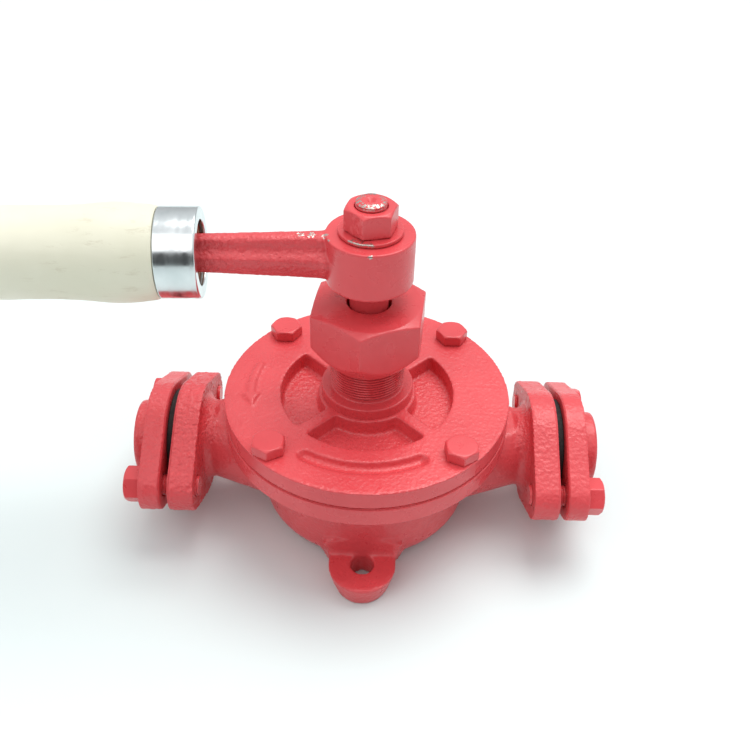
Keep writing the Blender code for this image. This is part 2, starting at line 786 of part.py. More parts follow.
def bushes():
    bore = SHAFT_RADIUS + GAP
    paint(tube("rear_bush", BUSH_RADIUS, bore, REAR_BUSH_BOTTOM, CHAMBER_FLOOR), brass)
    paint(tube("front_bush", BUSH_RADIUS, bore, SPIGOT_FACE + GAP, BUSH_SEAT_TOP - GAP), brass)


def packing():
    for number in range(PACKING_COUNT):
        low = BOX_FLOOR + GAP + number * (PACKING_HEIGHT + GAP)
        name = f"packing_ring_{number + 1}"
        item = tube(name, BOX_RADIUS - GAP, SHAFT_RADIUS + GAP, low, low + PACKING_HEIGHT)
        paint(item, graphite_packing)


def gland_follower():
    bottom = BOX_FLOOR + GAP + PACKING_COUNT * (PACKING_HEIGHT + GAP)
    profile = [
        (COLLAR_RADIUS, GLAND_NUT_ROOF - GAP),
        (COLLAR_RADIUS, COLLAR_BOTTOM),
        (BOX_RADIUS - GAP, COLLAR_BOTTOM),
        (BOX_RADIUS - GAP, bottom),
        (SHAFT_RADIUS + GAP, bottom),
        (SHAFT_RADIUS + GAP, GLAND_NUT_ROOF - GAP),
    ]
    paint(turned("gland_follower", profile, ROUND, ring=True), brass)


def gland_nut():
    corner = GLAND_NUT_ACROSS / math.sqrt(3)
    item = rod("gland_nut", corner, GLAND_NUT_BOTTOM, GLAND_NUT_TOP, 6, helper=False)
    outside = [
        (0.0, GLAND_NUT_TOP),
        (GLAND_NUT_CROWN_RADIUS, GLAND_NUT_TOP),
        (corner, GLAND_NUT_UPPER_CORNER),
        (corner + OVERRUN, GLAND_NUT_UPPER_CORNER),
        (corner + OVERRUN, GLAND_NUT_LOWER_CORNER),
        (corner, GLAND_NUT_LOWER_CORNER),
        (GLAND_NUT_FOOT_RADIUS, GLAND_NUT_BOTTOM),
        (0.0, GLAND_NUT_BOTTOM),
    ]
    combine(item, turned("gland_nut_outside", outside, FINE, helper=True), "INTERSECT")
    cut(item, rod("gland_nut_bore", GLAND_NUT_BORE, GLAND_NUT_BOTTOM - OVERRUN, GLAND_NUT_ROOF, ROUND))
    cut(item, rod("gland_nut_hole", GLAND_NUT_HOLE, GLAND_NUT_ROOF - OVERRUN, GLAND_NUT_TOP + OVERRUN, ROUND))
    paint(item, red_enamel)
    item.rotation_euler = (0.0, 0.0, GLAND_NUT_TURN)


# Lever and handle ------------------------------------------------------------------------------


def on_handle_axis(item):
    """Lays a shape made along Z on the lever's long axis, its own Z towards the handle's end."""
    item.matrix_local = Matrix.Translation((0.0, 0.0, HANDLE_HEIGHT)) @ Matrix.Rotation(-math.pi / 2, 4, "Y")
    return item


def arm():
    """A bar that tapers from the hub to the ferrule, with its long edges rounded."""
    shape = bmesh.new()
    bmesh.ops.create_cube(shape, size=1.0)
    for corner in shape.verts:
        if corner.co.z < 0.0:
            x = corner.co.x * ARM_START_DEPTH - ARM_START_DROP
            corner.co = (x, corner.co.y * ARM_START_WIDTH, ARM_START)
        else:
            corner.co = (corner.co.x * ARM_END_DEPTH, corner.co.y * ARM_END_WIDTH, ARM_END)
    item = finished("lever_arm", shape, True)
    rounding = item.modifiers.new("rounding", "BEVEL")
    rounding.width = ARM_ROUNDING
    rounding.segments = 2
    return on_handle_axis(item)


def lever(rotor):
    item = rod("lever", HUB_RADIUS, HUB_BOTTOM, HUB_TOP, FINE, helper=False)
    tang = on_handle_axis(rod("lever_tang", TANG_RADIUS, ARM_END - OVERRUN / 2, TANG_END))
    join(item, arm(), tang)
    cut(item, rod("lever_counterbore", SHAFT_RADIUS + GAP, HUB_BOTTOM - OVERRUN, SQUARE_BOTTOM + GAP, ROUND))
    half = SQUARE_SIDE / 2 + GAP
    low = (-half, -half, SQUARE_BOTTOM - OVERLAP)
    cut(item, block("lever_square", low, (half, half, HUB_TOP + OVERRUN)))
    paint(item, red_enamel, rotor)


def lever_washer(rotor):
    item = tube("lever_washer", WASHER_RADIUS, STUD_RADIUS + GAP, HUB_TOP + GAP, WASHER_TOP)
    paint(item, red_enamel, rotor)


def lever_nut(rotor):
    item = hexagon("lever_nut_hexagon", LEVER_NUT_ACROSS, WASHER_TOP + GAP, LEVER_NUT_TOP)
    cut(item, rod("lever_nut_bore", STUD_RADIUS + GAP, WASHER_TOP - OVERRUN, LEVER_NUT_TOP + OVERRUN, ROUND))
    item = paint(add("lever_nut", shaded(baked(item))), red_enamel, rotor)
    item.rotation_euler = (0.0, 0.0, LEVER_NUT_TURN - REST_SWING)


def ferrule(rotor):
    bore = FERRULE_RADIUS - FERRULE_WALL
    lip = FERRULE_START + FERRULE_WALL
    profile = [
        (FERRULE_RADIUS, FERRULE_END),
        (FERRULE_RADIUS, FERRULE_START + FERRULE_ROUNDING),
        (FERRULE_RADIUS - FERRULE_ROUNDING, FERRULE_START),
        (FERRULE_MOUTH_RADIUS, FERRULE_START),
        (FERRULE_MOUTH_RADIUS, lip),
        (bore, lip),
        (bore, FERRULE_END),
    ]
    on_handle_axis(paint(turned("ferrule", profile, ROUND, ring=True), bright_plate, rotor))


def handle_radius(share):
    """The grip's radius from ferrule (0) to end (1): a shallow waist between two swellings."""
    return GRIP_RADIUS - GRIP_WAIST * math.sin(math.pi * share) ** 2 + GRIP_SWELL * share


def handle(rotor):
    bore = TANG_RADIUS + GAP
    tenon = FERRULE_RADIUS - FERRULE_WALL - GAP
    grip_start = FERRULE_END + GAP
    grip_end = HANDLE_END - GRIP_END_ROUNDING
    steps = 6
    grip = []
    for index in range(steps + 1):
        share = index / steps
        grip.append((handle_radius(share), grip_start + (grip_end - grip_start) * share))
    end_radius = grip[-1][0]
    crown = [
        (end_radius * math.cos(a), grip_end + GRIP_END_ROUNDING * math.sin(a))
        for a in [math.pi / 2 * (1.0 - index / 4) for index in range(4)]
    ]
    profile = [
        *crown,
        *reversed(grip),
        (tenon, grip_start),
        (tenon, HANDLE_START),
        (bore, HANDLE_START),
        (bore, TANG_END + GAP),
        (0.0, TANG_END + GAP),
    ]
    profile[0] = (0.0, HANDLE_END)
    on_handle_axis(paint(turned("handle", profile, ROUND), cream_paint, rotor))


def build():
    pump_body()
    front_cover()
    cover_gasket()
    cover_bolts()
    flange_bolts()
    for side in (-1, 1):
        companion_flange(side)
        joint_ring(side)
    partition()
    bushes()
    packing()
    gland_follower()
    gland_nut()
    rotor = empty_at("lever_axis", (0.0, 0.0, 0.0), REST_SWING)
    shaft(rotor)
    wing(rotor)
    wing_pin(rotor)
    lever(rotor)
    lever_washer(rotor)
    lever_nut(rotor)
    ferrule(rotor)
    handle(rotor)
    valves("suction_clack", SEAT_ANGLE, 1, None)
    valves("delivery_clack", VANE_ANGLE, 3, rotor)


build()
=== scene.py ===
import json
import math

import bmesh
import bpy
from mathutils import Matrix, Vector, noise


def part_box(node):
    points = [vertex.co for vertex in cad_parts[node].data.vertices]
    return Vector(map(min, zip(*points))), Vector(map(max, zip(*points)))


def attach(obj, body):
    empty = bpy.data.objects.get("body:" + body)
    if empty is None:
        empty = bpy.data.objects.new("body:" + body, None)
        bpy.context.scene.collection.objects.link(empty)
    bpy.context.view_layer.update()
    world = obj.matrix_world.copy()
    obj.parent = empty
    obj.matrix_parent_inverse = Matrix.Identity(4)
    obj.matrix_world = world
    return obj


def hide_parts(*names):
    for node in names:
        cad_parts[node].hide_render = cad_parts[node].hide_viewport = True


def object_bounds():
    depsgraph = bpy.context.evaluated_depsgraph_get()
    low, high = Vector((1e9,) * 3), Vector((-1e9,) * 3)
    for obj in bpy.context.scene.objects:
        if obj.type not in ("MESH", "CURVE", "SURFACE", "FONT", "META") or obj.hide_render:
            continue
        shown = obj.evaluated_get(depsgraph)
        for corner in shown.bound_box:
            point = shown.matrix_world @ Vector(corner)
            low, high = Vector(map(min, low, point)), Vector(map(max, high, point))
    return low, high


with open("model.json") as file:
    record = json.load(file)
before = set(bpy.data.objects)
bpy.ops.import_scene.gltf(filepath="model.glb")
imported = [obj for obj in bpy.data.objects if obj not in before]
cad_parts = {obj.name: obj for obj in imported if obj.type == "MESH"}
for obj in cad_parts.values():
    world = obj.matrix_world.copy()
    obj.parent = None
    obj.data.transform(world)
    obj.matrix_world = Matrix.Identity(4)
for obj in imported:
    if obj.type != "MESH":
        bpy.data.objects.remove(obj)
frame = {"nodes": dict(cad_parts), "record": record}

cad_low, cad_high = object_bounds()

# Metres, +Z up along the shaft, the inlet at +X, the lever along -X.
BODY_TOP = 0.0626
FLANGE_RADIUS = 0.0702
FLANGE_UNDERSIDE = 0.0531
BOWL_RADIUS = 0.0556
BOWL_FOOT_RADIUS = 0.0532
BOWL_ROUNDING = 0.0125
BACK_PAD_RADIUS = 0.0340
BACK_PAD_HEIGHT = 0.0030
CHAMBER_RADIUS = 0.0470
CHAMBER_FLOOR = 0.0110
BUSH_RADIUS = 0.0120
REAR_BUSH_BOTTOM = 0.0035
FACING_RADIUS = 0.0760
FACING_HEIGHT = 0.0555
LUG_CENTRE = 0.0601
LUG_RADIUS = 0.0166
LUG_HEIGHT = 0.0130
LUG_HOLE_RADIUS = 0.0057
LUG_FILLET = 0.0085
LUG_FACET = 0.0536
LUG_INNER_END = 0.0475
LUG_FOOT_WIDTH_SHARE = 0.82
LUG_FOOT_LENGTH_SHARE = 0.967
LUG_ROOT_START = 0.0340
LUG_ROOT_END = 0.0510
LUG_RAMP_RISE = 0.0105
LUG_RAMP_REACH = 0.0012
LUG_RAMP_HALF_WIDTH = 0.0150
LUG_RAMP_SPREAD = 0.0050

PORT_HEIGHT = 0.0372
PORT_RADIUS = 0.0100
SOCKET_RADIUS = 0.0123
SOCKET_PITCH = 0.0018
NECK_INNER = 0.0478
NECK_INNER_RADIUS = 0.0286
NECK_SLOPE = 0.309
NECK_FLARE = 0.0050
BODY_FACE = 0.0943
BODY_FLANGE_THICKNESS = 0.0124
COMPANION_FACE = 0.0980
COMPANION_THICKNESS = 0.0102
SOCKET_END = 0.1161
SOCKET_OUTER_RADIUS = 0.0186
OVAL_MIDDLE_RADIUS = 0.0290
OVAL_EAR_RADIUS = 0.0120
EAR_SPACING = 0.0341
JOINT_RING_RADIUS = 0.0250

COVER_RADIUS = 0.0700
COVER_TOP = 0.0730
COVER_UNDERSIDE = 0.0634
SPIGOT_FACE = 0.0596
RING_RADIUS = 0.0240
SHOULDER_RADIUS = 0.0224
SHOULDER_TOP = 0.0787
RELIEF_RADIUS = 0.0170
THREAD_START = 0.0802
THREAD_RADIUS = 0.0179
THREAD_PITCH = 0.0015
BOX_TOP = 0.1120
BOX_RADIUS = 0.0134
POCKET_RADIUS = 0.0425
POCKET_FLOOR = 0.0650
RIB_WIDTH = 0.0066
RECESS_RADIUS = 0.0545
RECESS_HALF_ANGLE = math.radians(29.0)
RECESS_FLOOR = 0.0697
RECESS_MIDDLE = math.radians(-91.0)
ARROW_RADIUS = 0.0570
ARROW_START = math.radians(163.0)
ARROW_NECK = math.radians(186.0)
ARROW_TIP = math.radians(194.0)
ARROW_HEAD_HALF_WIDTH = 0.0042
BOLT_CIRCLE = 0.0620

COVER_BOLT_RADIUS = 0.0037
COVER_BOLT_ACROSS = 0.0144
COVER_BOLT_HEAD = 0.0056
COVER_BOLT_END = 0.0540
COVER_BOLT_TURNS = (31.0, 29.0, -1.0, 7.0)
FLANGE_BOLT_RADIUS = 0.0050
FLANGE_BOLT_ACROSS = 0.0160
FLANGE_BOLT_HEAD = 0.0078
FLANGE_BOLT_END = 0.0805
FLANGE_BOLT_TURNS = (30.0, 12.0, 22.0, 0.0)
CROWN_SHARE = 0.475
BOLT_PITCH = 0.00125

SWING = Matrix.Rotation(math.radians(3.0), 4, "Z")
SHAFT_RADIUS = 0.0090
SHAFT_BOTTOM = 0.0042
SQUARE_BOTTOM = 0.1415
SQUARE_TOP = 0.1608
SQUARE_SIDE = 0.0138
STUD_RADIUS = 0.0069
STUD_PITCH = 0.0015
SHAFT_TOP = 0.1773
HUB_RADIUS = 0.0197
HUB_BOTTOM = 0.1385
HUB_TOP = 0.1618
WASHER_RADIUS = 0.0143
WASHER_TOP = 0.1638
LEVER_NUT_ACROSS = 0.0210
LEVER_NUT_TOP = 0.1748
LEVER_NUT_TURN = -15.3
HANDLE_HEIGHT = 0.1515
ARM_START = 0.0120
ARM_END = 0.0747
ARM_INSIDE_FERRULE = 0.0800
ARM_HALF_WIDTH_MM = (8.75, 2.0)     # at the hub, and what it loses at the ferrule
ARM_HALF_DEPTH_MM = (11.0, 2.4)
ARM_SAG_MM = 0.9
ARM_FLARE_MM = (1.2, 2.2)           # at the hub: width and length
TANG_RADIUS = 0.0060
TANG_START = 0.0780
TANG_END = 0.1495
# The arm's right half in shares of its half width and half height, from the top down.
ARM_OUTLINE = (
    (0.00, 1.00),
    (0.25, 0.99),
    (0.42, 0.91),
    (0.50, 0.76),
    (0.52, 0.58),
    (0.57, 0.45),
    (0.70, 0.33),
    (0.87, 0.22),
    (0.98, 0.12),
    (1.00, 0.00),
    (1.00, -0.14),
    (0.94, -0.32),
    (0.80, -0.60),
    (0.60, -0.86),
    (0.40, -0.93),
    (0.00, -0.93),
)
# Where the lever's paint is rubbed off: (place, radius).
LEVER_WORN_SPOTS = (
    ((-0.0296, -0.0026, 0.1604), 0.0028),
    ((-0.0253, -0.0024, 0.1606), 0.0027),
    ((-0.0195, -0.0036, 0.1618), 0.0022),
    ((0.0003, -0.0196, 0.1615), 0.0016),
    ((-0.0182, -0.0080, 0.1618), 0.0014),
)
RUBBED_EDGE = 0.0019
FERRULE_START = 0.0730
FERRULE_END = 0.0905
FERRULE_RADIUS = 0.0199
FERRULE_WALL = 0.0013
FERRULE_MOUTH_RADIUS = 0.0143
HANDLE_START = 0.0755
HANDLE_END = 0.2160
HANDLE_ROUNDING = 0.0190
HANDLE_MOUTH_RADIUS = 0.0114
HANDLE_MOUTH_END = 0.0850
GRIP_RADIUS_MM = 20.0
GRIP_SWELLS_MM = ((1.75, 17.0, 14.5), (1.2, 108.0, 32.0))   # height, middle and spread
GRIP_SHOULDER_MM = (0.8, 1.2)                               # depth and length

GLAND_NUT_ACROSS = 0.0500
GLAND_NUT_BOTTOM = 0.0965
GLAND_NUT_TOP = 0.1260
GLAND_NUT_ROOF = 0.1188
GLAND_NUT_BORE = 0.0183
GLAND_NUT_HOLE = 0.0102
GLAND_NUT_CROWN_RADIUS = 0.0240
GLAND_NUT_CROWN_EDGE = 0.1242
GLAND_NUT_FOOT_RADIUS = 0.0205
GLAND_NUT_FOOT_EDGE = 0.1074
GLAND_NUT_TURN = -6.4

GAP = 0.0003
OVERRUN = 0.0100
MILLIMETRE = 0.001
FINE = 130
ROUND = 70
SMALL = 36
ALONG_X = Matrix(((0, 0, 1, 0), (1, 0, 0, 0), (0, 1, 0, 0), (0, 0, 0, 1)))
ALONG_HANDLE = Matrix.Translation((0.0, 0.0, HANDLE_HEIGHT)) @ Matrix.Rotation(-math.pi / 2, 4, "Y")
SIDES = {"inlet": 1, "outlet": -1}

LENS = 41.547
SENSOR = 36.0
CAMERA_PLACE = (0.0026, -0.3251, 0.3513)
CAMERA_YAW = math.radians(-0.19)
CAMERA_PITCH = math.radians(39.60)
CAMERA_ROLL = math.radians(1.74)
LIGHT_COLOUR = (1.0, 0.99, 0.97)
SKY_COLOUR = (0.97, 0.985, 1.0, 1.0)
SKY_AT_HORIZON = 0.50
SKY_OVERHEAD = 0.98
FLOOR_BOX = ((-5.0, -5.0, -0.01), (5.0, 5.0, -0.0001))
FLOOR_COLOURS = ((0.685, 0.76, 0.76, 1.0), (0.705, 0.78, 0.78, 1.0))
CARD_BOX = ((-1.3, -1.62, 0.10), (1.3, -1.60, 1.15))
CARD_COLOURS = ((0.05, 0.05, 0.05, 1.0), (0.07, 0.07, 0.07, 1.0))
# Each light's name, strength, spread in degrees and direction.
SOFTBOXES = (
    ("overhead_softbox", 1.85, 42.0, (0.22, 0.32, 1.0)),
    ("front_softbox", 0.50, 50.0, (-0.55, -0.75, 1.05)),
)


# Shapes ----------------------------------------------------------------------------------------


def polar(radius, angle):
    return radius * math.cos(angle), radius * math.sin(angle)


def arc(radius, start, end, steps, centre=(0.0, 0.0)):
    """Points along an arc, both ends included, for angles in radians."""
    places = [polar(radius, start + (end - start) * index / steps) for index in range(steps + 1)]
    return [(centre[0] + x, centre[1] + y) for x, y in places]


def tube(outer, inner, low, high):
    """A plain ring's outline, for a lathe."""
    return [(outer, high), (outer, low), (inner, low), (inner, high)]


def eased(points, radius, closed=False):
    """A line with its corners rounded, and a point beside each so that flats shade flat."""
    line = [Vector(point) for point in points]
    count = len(line)
    steps = 4
    most_of_side = 0.4
    beside = 1.2
    rounded = []
    for index, corner in enumerate(line):
        if not closed and index in (0, count - 1):
            rounded.append(tuple(corner))
            continue
        before = line[index - 1] - corner
        after = line[(index + 1) % count] - corner
        reach = min(radius, most_of_side * before.length, most_of_side * after.length)
        start = corner + before.normalized() * reach
        end = corner + after.normalized() * reach
        rounded.append(tuple(corner + before.normalized() * reach * beside))
        for step in range(steps + 1):
            share = step / steps
            rounded.append(tuple(start.lerp(corner, share).lerp(corner.lerp(end, share), share)))
        rounded.append(tuple(corner + after.normalized() * reach * beside))
    return rounded


def skin(rings, closed=False):
    """A mesh through rings of equal count, with its ends capped, or joined end to end."""
    count = len(rings[0])
    shape = bmesh.new()
    verts = [[shape.verts.new(point) for point in ring] for ring in rings]
    for index in range(len(rings) if closed else len(rings) - 1):
        lower = verts[index]
        upper = verts[(index + 1) % len(rings)]
        for side in range(count):
            beside = (side + 1) % count
            shape.faces.new((lower[side], lower[beside], upper[beside], upper[side]))
    if not closed:
        shape.faces.new(verts[0])
        shape.faces.new(verts[-1])
    bmesh.ops.remove_doubles(shape, verts=shape.verts, dist=0.0000005)
    bmesh.ops.recalc_face_normals(shape, faces=shape.faces)
    mesh = bpy.data.meshes.new("skin")
    shape.to_mesh(mesh)
    shape.free()
    return mesh


def lathe(profile, steps=ROUND, closed=False):
    """A mesh turned about Z from (radius, height) points."""
    turns = [2.0 * math.pi * step / steps for step in range(steps)]
    rings = [[(*polar(radius, turn), z) for turn in turns] for radius, z in profile]
    return skin(rings, closed)


def drum(radius, low, high, steps=ROUND):
    """A closed cylinder about Z."""
    return lathe([(radius, high), (radius, low)], steps)


def prism(outline, low, high):
    """A closed prism along Z over an outline."""
    return skin([[(x, y, low) for x, y in outline], [(x, y, high) for x, y in outline]])


def block(low, high):
    """A closed box between two corners."""
    corners = [(low[0], low[1]), (high[0], low[1]), (high[0], high[1]), (low[0], high[1])]
    return prism(corners, low[2], high[2])


def threaded(radius, depth, pitch, low, high, inner=None, steps=ROUND):
    """A screw thread's ridge as a closed shell about Z. With an inner radius it is a tube's outside."""
    rows_a_turn = 8
    crest_share = 1.6
    rows = round((high - low) / pitch * rows_a_turn)
    rings = []
    for row in range(rows + 1):
        z = low + (high - low) * row / rows
        fade = min(1.0, (z - low) / pitch, (high - z) / pitch)
        ring = []
        for step in range(steps):
            phase = (z / pitch - step / steps) % 1.0
            ridge = min(1.0, crest_share * abs(2.0 * phase - 1.0))
            crest = radius - depth * (1.0 - fade * ridge)
            ring.append((*polar(crest, 2.0 * math.pi * step / steps), z))
        rings.append(ring)
    if inner is None:
        return skin(rings)
    for z in (high, low):
        rings.append([(*polar(inner, 2.0 * math.pi * step / steps), z) for step in range(steps)])
    return skin(rings, closed=True)


def moved(mesh, matrix):
    mesh.transform(matrix)
    return mesh


def port_matrix(side, offset=0.0):
    """Turns Z outwards along a port's axis, or beside it by an offset in Y."""
    flip = Matrix.Rotation(0.0 if side > 0 else math.pi, 4, "Z")
    return Matrix.Translation((0.0, offset, PORT_HEIGHT)) @ flip @ ALONG_X


def on_port(mesh, side, offset=0.0):
    return moved(mesh, port_matrix(side, offset))


def hexagon(across, low, high, underside=0.0):
    """A hexagonal prism with its corners turned off above, and below by a depth of its own."""
    corner = across / math.sqrt(3.0)
    crown = across * CROWN_SHARE
    depth = (corner - crown) * math.tan(math.radians(30.0))
    wide = corner + MILLIMETRE
    profile = [
        (0.0, high),
        (crown, high),
        (wide, high - depth * (wide - crown) / (corner - crown)),
        (wide, low - underside),
        (corner, low + underside),
        (crown, low),
        (0.0, low),
    ]
    return intersection(hexagonal_prism(corner, low, high), lathe(profile))


def hexagonal_prism(corner, low, high):
    """A hexagonal prism from its corners' radius, a millimetre longer at each end."""
    corners = [polar(corner, math.radians(30.0 + 60.0 * index)) for index in range(6)]
    return prism(corners, low - MILLIMETRE, high + MILLIMETRE)


# Solids ----------------------------------------------------------------------------------------


def placed(name, data):
    """A new object in the scene."""
    item = bpy.data.objects.new(name, data)
    bpy.context.scene.collection.objects.link(item)
    return item


def evaluated(item):
    """The item's mesh with its modifiers applied. The item and the shapes that it used are removed."""
    bpy.context.view_layer.update()
    graph = bpy.context.evaluated_depsgraph_get()
    mesh = bpy.data.meshes.new_from_object(item.evaluated_get(graph))
    spent = [modifier.object for modifier in item.modifiers if modifier.type == "BOOLEAN"]
    for old in [item, *spent]:
        bpy.data.objects.remove(old)
    return mesh


def solid(adds, cuts=()):
    """One mesh: the first shape joined to the others, less the cuts."""
    item = placed("helper", adds[0])
    for operation, shapes in (("UNION", adds[1:]), ("DIFFERENCE", cuts)):
        for shape in shapes:
            modifier = item.modifiers.new("boolean", "BOOLEAN")
            modifier.operation = operation
            modifier.solver = "EXACT"
            modifier.object = placed("helper", shape)
    return evaluated(item)


def intersection(first, second):
    item = placed("helper", first)
    modifier = item.modifiers.new("boolean", "BOOLEAN")
    modifier.operation = "INTERSECT"
    modifier.solver = "EXACT"
    modifier.object = placed("helper", second)
    return evaluated(item)


def softened(mesh, voxel, passes):
    """The mesh with even small faces and its edges rounded, like a painted casting's."""
    item = placed("helper", mesh)
    remesh = item.modifiers.new("remesh", "REMESH")
    remesh.mode = "VOXEL"
    remesh.voxel_size = voxel
    remesh.use_smooth_shade = True
    smooth = item.modifiers.new("smooth", "SMOOTH")
    smooth.factor = 0.5
    smooth.iterations = passes
    return evaluated(item)


def joined(*meshes):
    """Several closed shells in one mesh."""
    shape = bmesh.new()
    for mesh in meshes:
        shape.from_mesh(mesh)
    made = bpy.data.meshes.new("joined")
    shape.to_mesh(made)
    shape.free()
    return made


def cast_surface(mesh, depth, size, rough=None):
    """Moves the surface by the waviness of sand casting, and stores each point's grain."""
    grain = mesh.attributes.new("grain", "FLOAT", "POINT")
    shares = []
    places = []
    for vert in mesh.vertices:
        share = rough(vert.co) if rough else 1.0
        shares.append(share)
        wave = noise.fractal(vert.co / size, 1.0, 2.2, 3)
        places.append(vert.co + vert.normal * (depth * wave * share))
    for vert, place in zip(mesh.vertices, places):
        vert.co = place
    grain.data.foreach_set("value", shares)
    return mesh


def store_painted_shade(mesh, depth_at):
    """Stores how deep in a hollow each point lies, from 0 to 1, for the painted shade that darkens the
    enamel there.
    """
    layer = mesh.attributes.new("hollow", "FLOAT", "POINT")
    layer.data.foreach_set("value", [depth_at(vert.co) for vert in mesh.vertices])
    return mesh


def wear(mesh, spots):
    """Stores how far the paint is rubbed off around each (place, radius) spot."""
    layer = mesh.attributes.new("worn", "FLOAT", "POINT")
    values = []
    for vert in mesh.vertices:
        nearest = max(1.0 - (vert.co - Vector(place)).length / radius for place, radius in spots)
        values.append(max(0.0, nearest))
    layer.data.foreach_set("value", values)
    return mesh


def edge_spots(radius, height, degrees):
    """Worn spots side by side along a round edge."""
    return [((*polar(radius, math.radians(turn)), height), RUBBED_EDGE) for turn in degrees]


def ramp(value, low, high):
    """0 below low, 1 above high, and smooth between them."""
    share = min(1.0, max(0.0, (value - low) / (high - low)))
    return share * share * (3.0 - 2.0 * share)


def piece(name, mesh, finish, body, slot, *nodes):
    """A finished piece: its material, its body and the CAD nodes it stands for; the slot argument is
    not used.
    """
    for vert in mesh.vertices:
        inside = [min(max(value, low), high) for value, low, high in zip(vert.co, cad_low, cad_high)]
        vert.co = inside
    mesh.shade_smooth()
    mesh.set_sharp_from_angle(angle=math.radians(50.0))
    mesh.materials.clear()
    mesh.materials.append(finish)
    mesh.name = name
    item = placed(name, mesh)
    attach(item, body)
    if nodes:
        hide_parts(*nodes)


# Materials -------------------------------------------------------------------------------------


class Finish:
    """A material's node tree, with short ways to add to it."""

    def __init__(self, name):
        self.material = bpy.data.materials.new(name)
        self.material.use_nodes = True
        self.tree = self.material.node_tree
        self.shader = self.tree.nodes["Principled BSDF"]
        self.place = self.node("TexCoord").outputs["Object"]

    def node(self, kind, inputs=None, **settings):
        made = self.tree.nodes.new("ShaderNode" + kind)
        for name, value in settings.items():
            setattr(made, name, value)
        for key, value in (inputs or {}).items():
            if isinstance(value, bpy.types.NodeSocket):
                self.tree.links.new(value, made.inputs[key])
            else:
                made.inputs[key].default_value = value
        return made

    def noise(self, scale, detail=2.0, stretch=None, roughness=0.5):
        place = self.place
        if stretch:
            place = self.node("Mapping", {"Vector": place, "Scale": stretch}).outputs[0]
        inputs = {"Vector": place, "Scale": scale, "Detail": detail, "Roughness": roughness}
        return self.node("TexNoise", inputs).outputs[0]

    def cells(self, scale):
        return self.node("TexVoronoi", {"Vector": self.place, "Scale": scale}).outputs["Distance"]

    def math(self, operation, first, second):
        return self.node("Math", {0: first, 1: second}, operation=operation).outputs[0]

    def mapped(self, value, from_low, from_high, to_low, to_high):
        inputs = {1: from_low, 2: from_high, 3: to_low, 4: to_high, 0: value}
        return self.node("MapRange", inputs).outputs[0]

    def spread(self, value, low, high):
        """A noise's usual range, 0.3 to 0.7, mapped to low and high."""
        return self.mapped(value, 0.3, 0.7, low, high)

    def mix(self, share, first, second):
        return self.node("Mix", {0: share, 6: first, 7: second}, data_type="RGBA").outputs[2]

    def attribute(self, name):
        return self.node("Attribute", attribute_name=name).outputs["Fac"]

    def bump(self, height, distance, strength=1.0, below=None):
        inputs = {"Height": height, "Distance": distance, "Strength": strength}
        if below:
            inputs["Normal"] = below
        return self.node("Bump", inputs).outputs[0]

    def link(self, **sockets):
        for key, value in sockets.items():
            socket = self.shader.inputs["Base Color" if key == "colour" else key.capitalize()]
            if isinstance(value, bpy.types.NodeSocket):
                self.tree.links.new(value, socket)
            else:
                socket.default_value = value
        return self.material


def red_enamel(name, grain_depth, polish=0.28, crease_shade_and_edge_highlight=True):
    """Thick satin-gloss red enamel. Its cast grain follows the "grain" attribute, and it is rubbed
    through to bare metal where "worn" is high. It gets painted shade, a darker red, in stored hollows
    and, unless turned off, in concave creases, with a painted highlight, a lighter red, on convex
    edges, which partly stands for thinner paint there."""
    made = Finish(name)
    grain = made.attribute("grain")
    worn = made.attribute("worn")
    pebbles = made.math("MULTIPLY", made.noise(760.0, 2.0, roughness=0.6), 0.7)
    pebbles = made.math("ADD", pebbles, made.math("MULTIPLY", made.cells(480.0), 0.45))
    height = made.math("MULTIPLY", pebbles, grain)
    cast = made.bump(height, grain_depth, 1.0)
    peel = made.bump(made.noise(210.0, 2.0), 0.00012, 0.35, cast)
    edge = made.node("NewGeometry").outputs["Pointiness"]
    tone = made.spread(made.noise(34.0, 4.0), 0.0, 1.0)
    red = made.mix(tone, (0.63, 0.056, 0.066, 1.0), (0.72, 0.072, 0.083, 1.0))
    # Painted shade: a darker red wherever the mesh stores a hollow, such as the stuffing box's thread
    # grooves.
    hollow = made.attribute("hollow")
    # More painted shade: a darker red in concave creases, found by pointiness.
    if crease_shade_and_edge_highlight:
        hollow = made.math("MAXIMUM", hollow, made.mapped(edge, 0.36, 0.47, 0.45, 0.0))
    red = made.mix(hollow, red, (0.36, 0.018, 0.028, 1.0))
    # Painted highlight: a lighter red on convex edges, partly standing for thinner paint there.
    if crease_shade_and_edge_highlight:
        raised = made.mapped(edge, 0.54, 0.66, 0.0, 0.45)
        red = made.mix(raised, red, (0.84, 0.17, 0.18, 1.0))
    speckle = made.mapped(made.noise(900.0, 3.0, roughness=0.7), 0.40, 0.60, -0.35, 0.35)
    bare = made.math("ADD", worn, speckle)
    bare = made.mapped(bare, 0.50, 0.56, 0.0, 1.0)
    colour = made.mix(bare, red, (0.50, 0.47, 0.43, 1.0))
    gloss = made.spread(made.noise(120.0, 3.0), polish - 0.05, polish + 0.09)
    gloss = made.math("ADD", gloss, made.math("MULTIPLY", grain, 0.05))
    return made.link(colour=colour, roughness=gloss, metallic=bare, normal=peel)


def bright_plate():
    made = Finish("bright_plate")
    scratches = made.noise(420.0, 3.0, (1.0, 0.06, 0.06))
    stains = made.mapped(made.noise(70.0, 4.0), 0.35, 0.75, 0.0, 1.0)
    colour = made.mix(stains, (0.74, 0.77, 0.78, 1.0), (0.58, 0.63, 0.64, 1.0))
    gloss = made.spread(scratches, 0.12, 0.27)
    dents = made.bump(made.noise(55.0, 2.0), 0.0005, 0.25)
    normal = made.bump(scratches, 0.00004, 0.4, dents)
    return made.link(colour=colour, roughness=gloss, metallic=1.0, normal=normal)


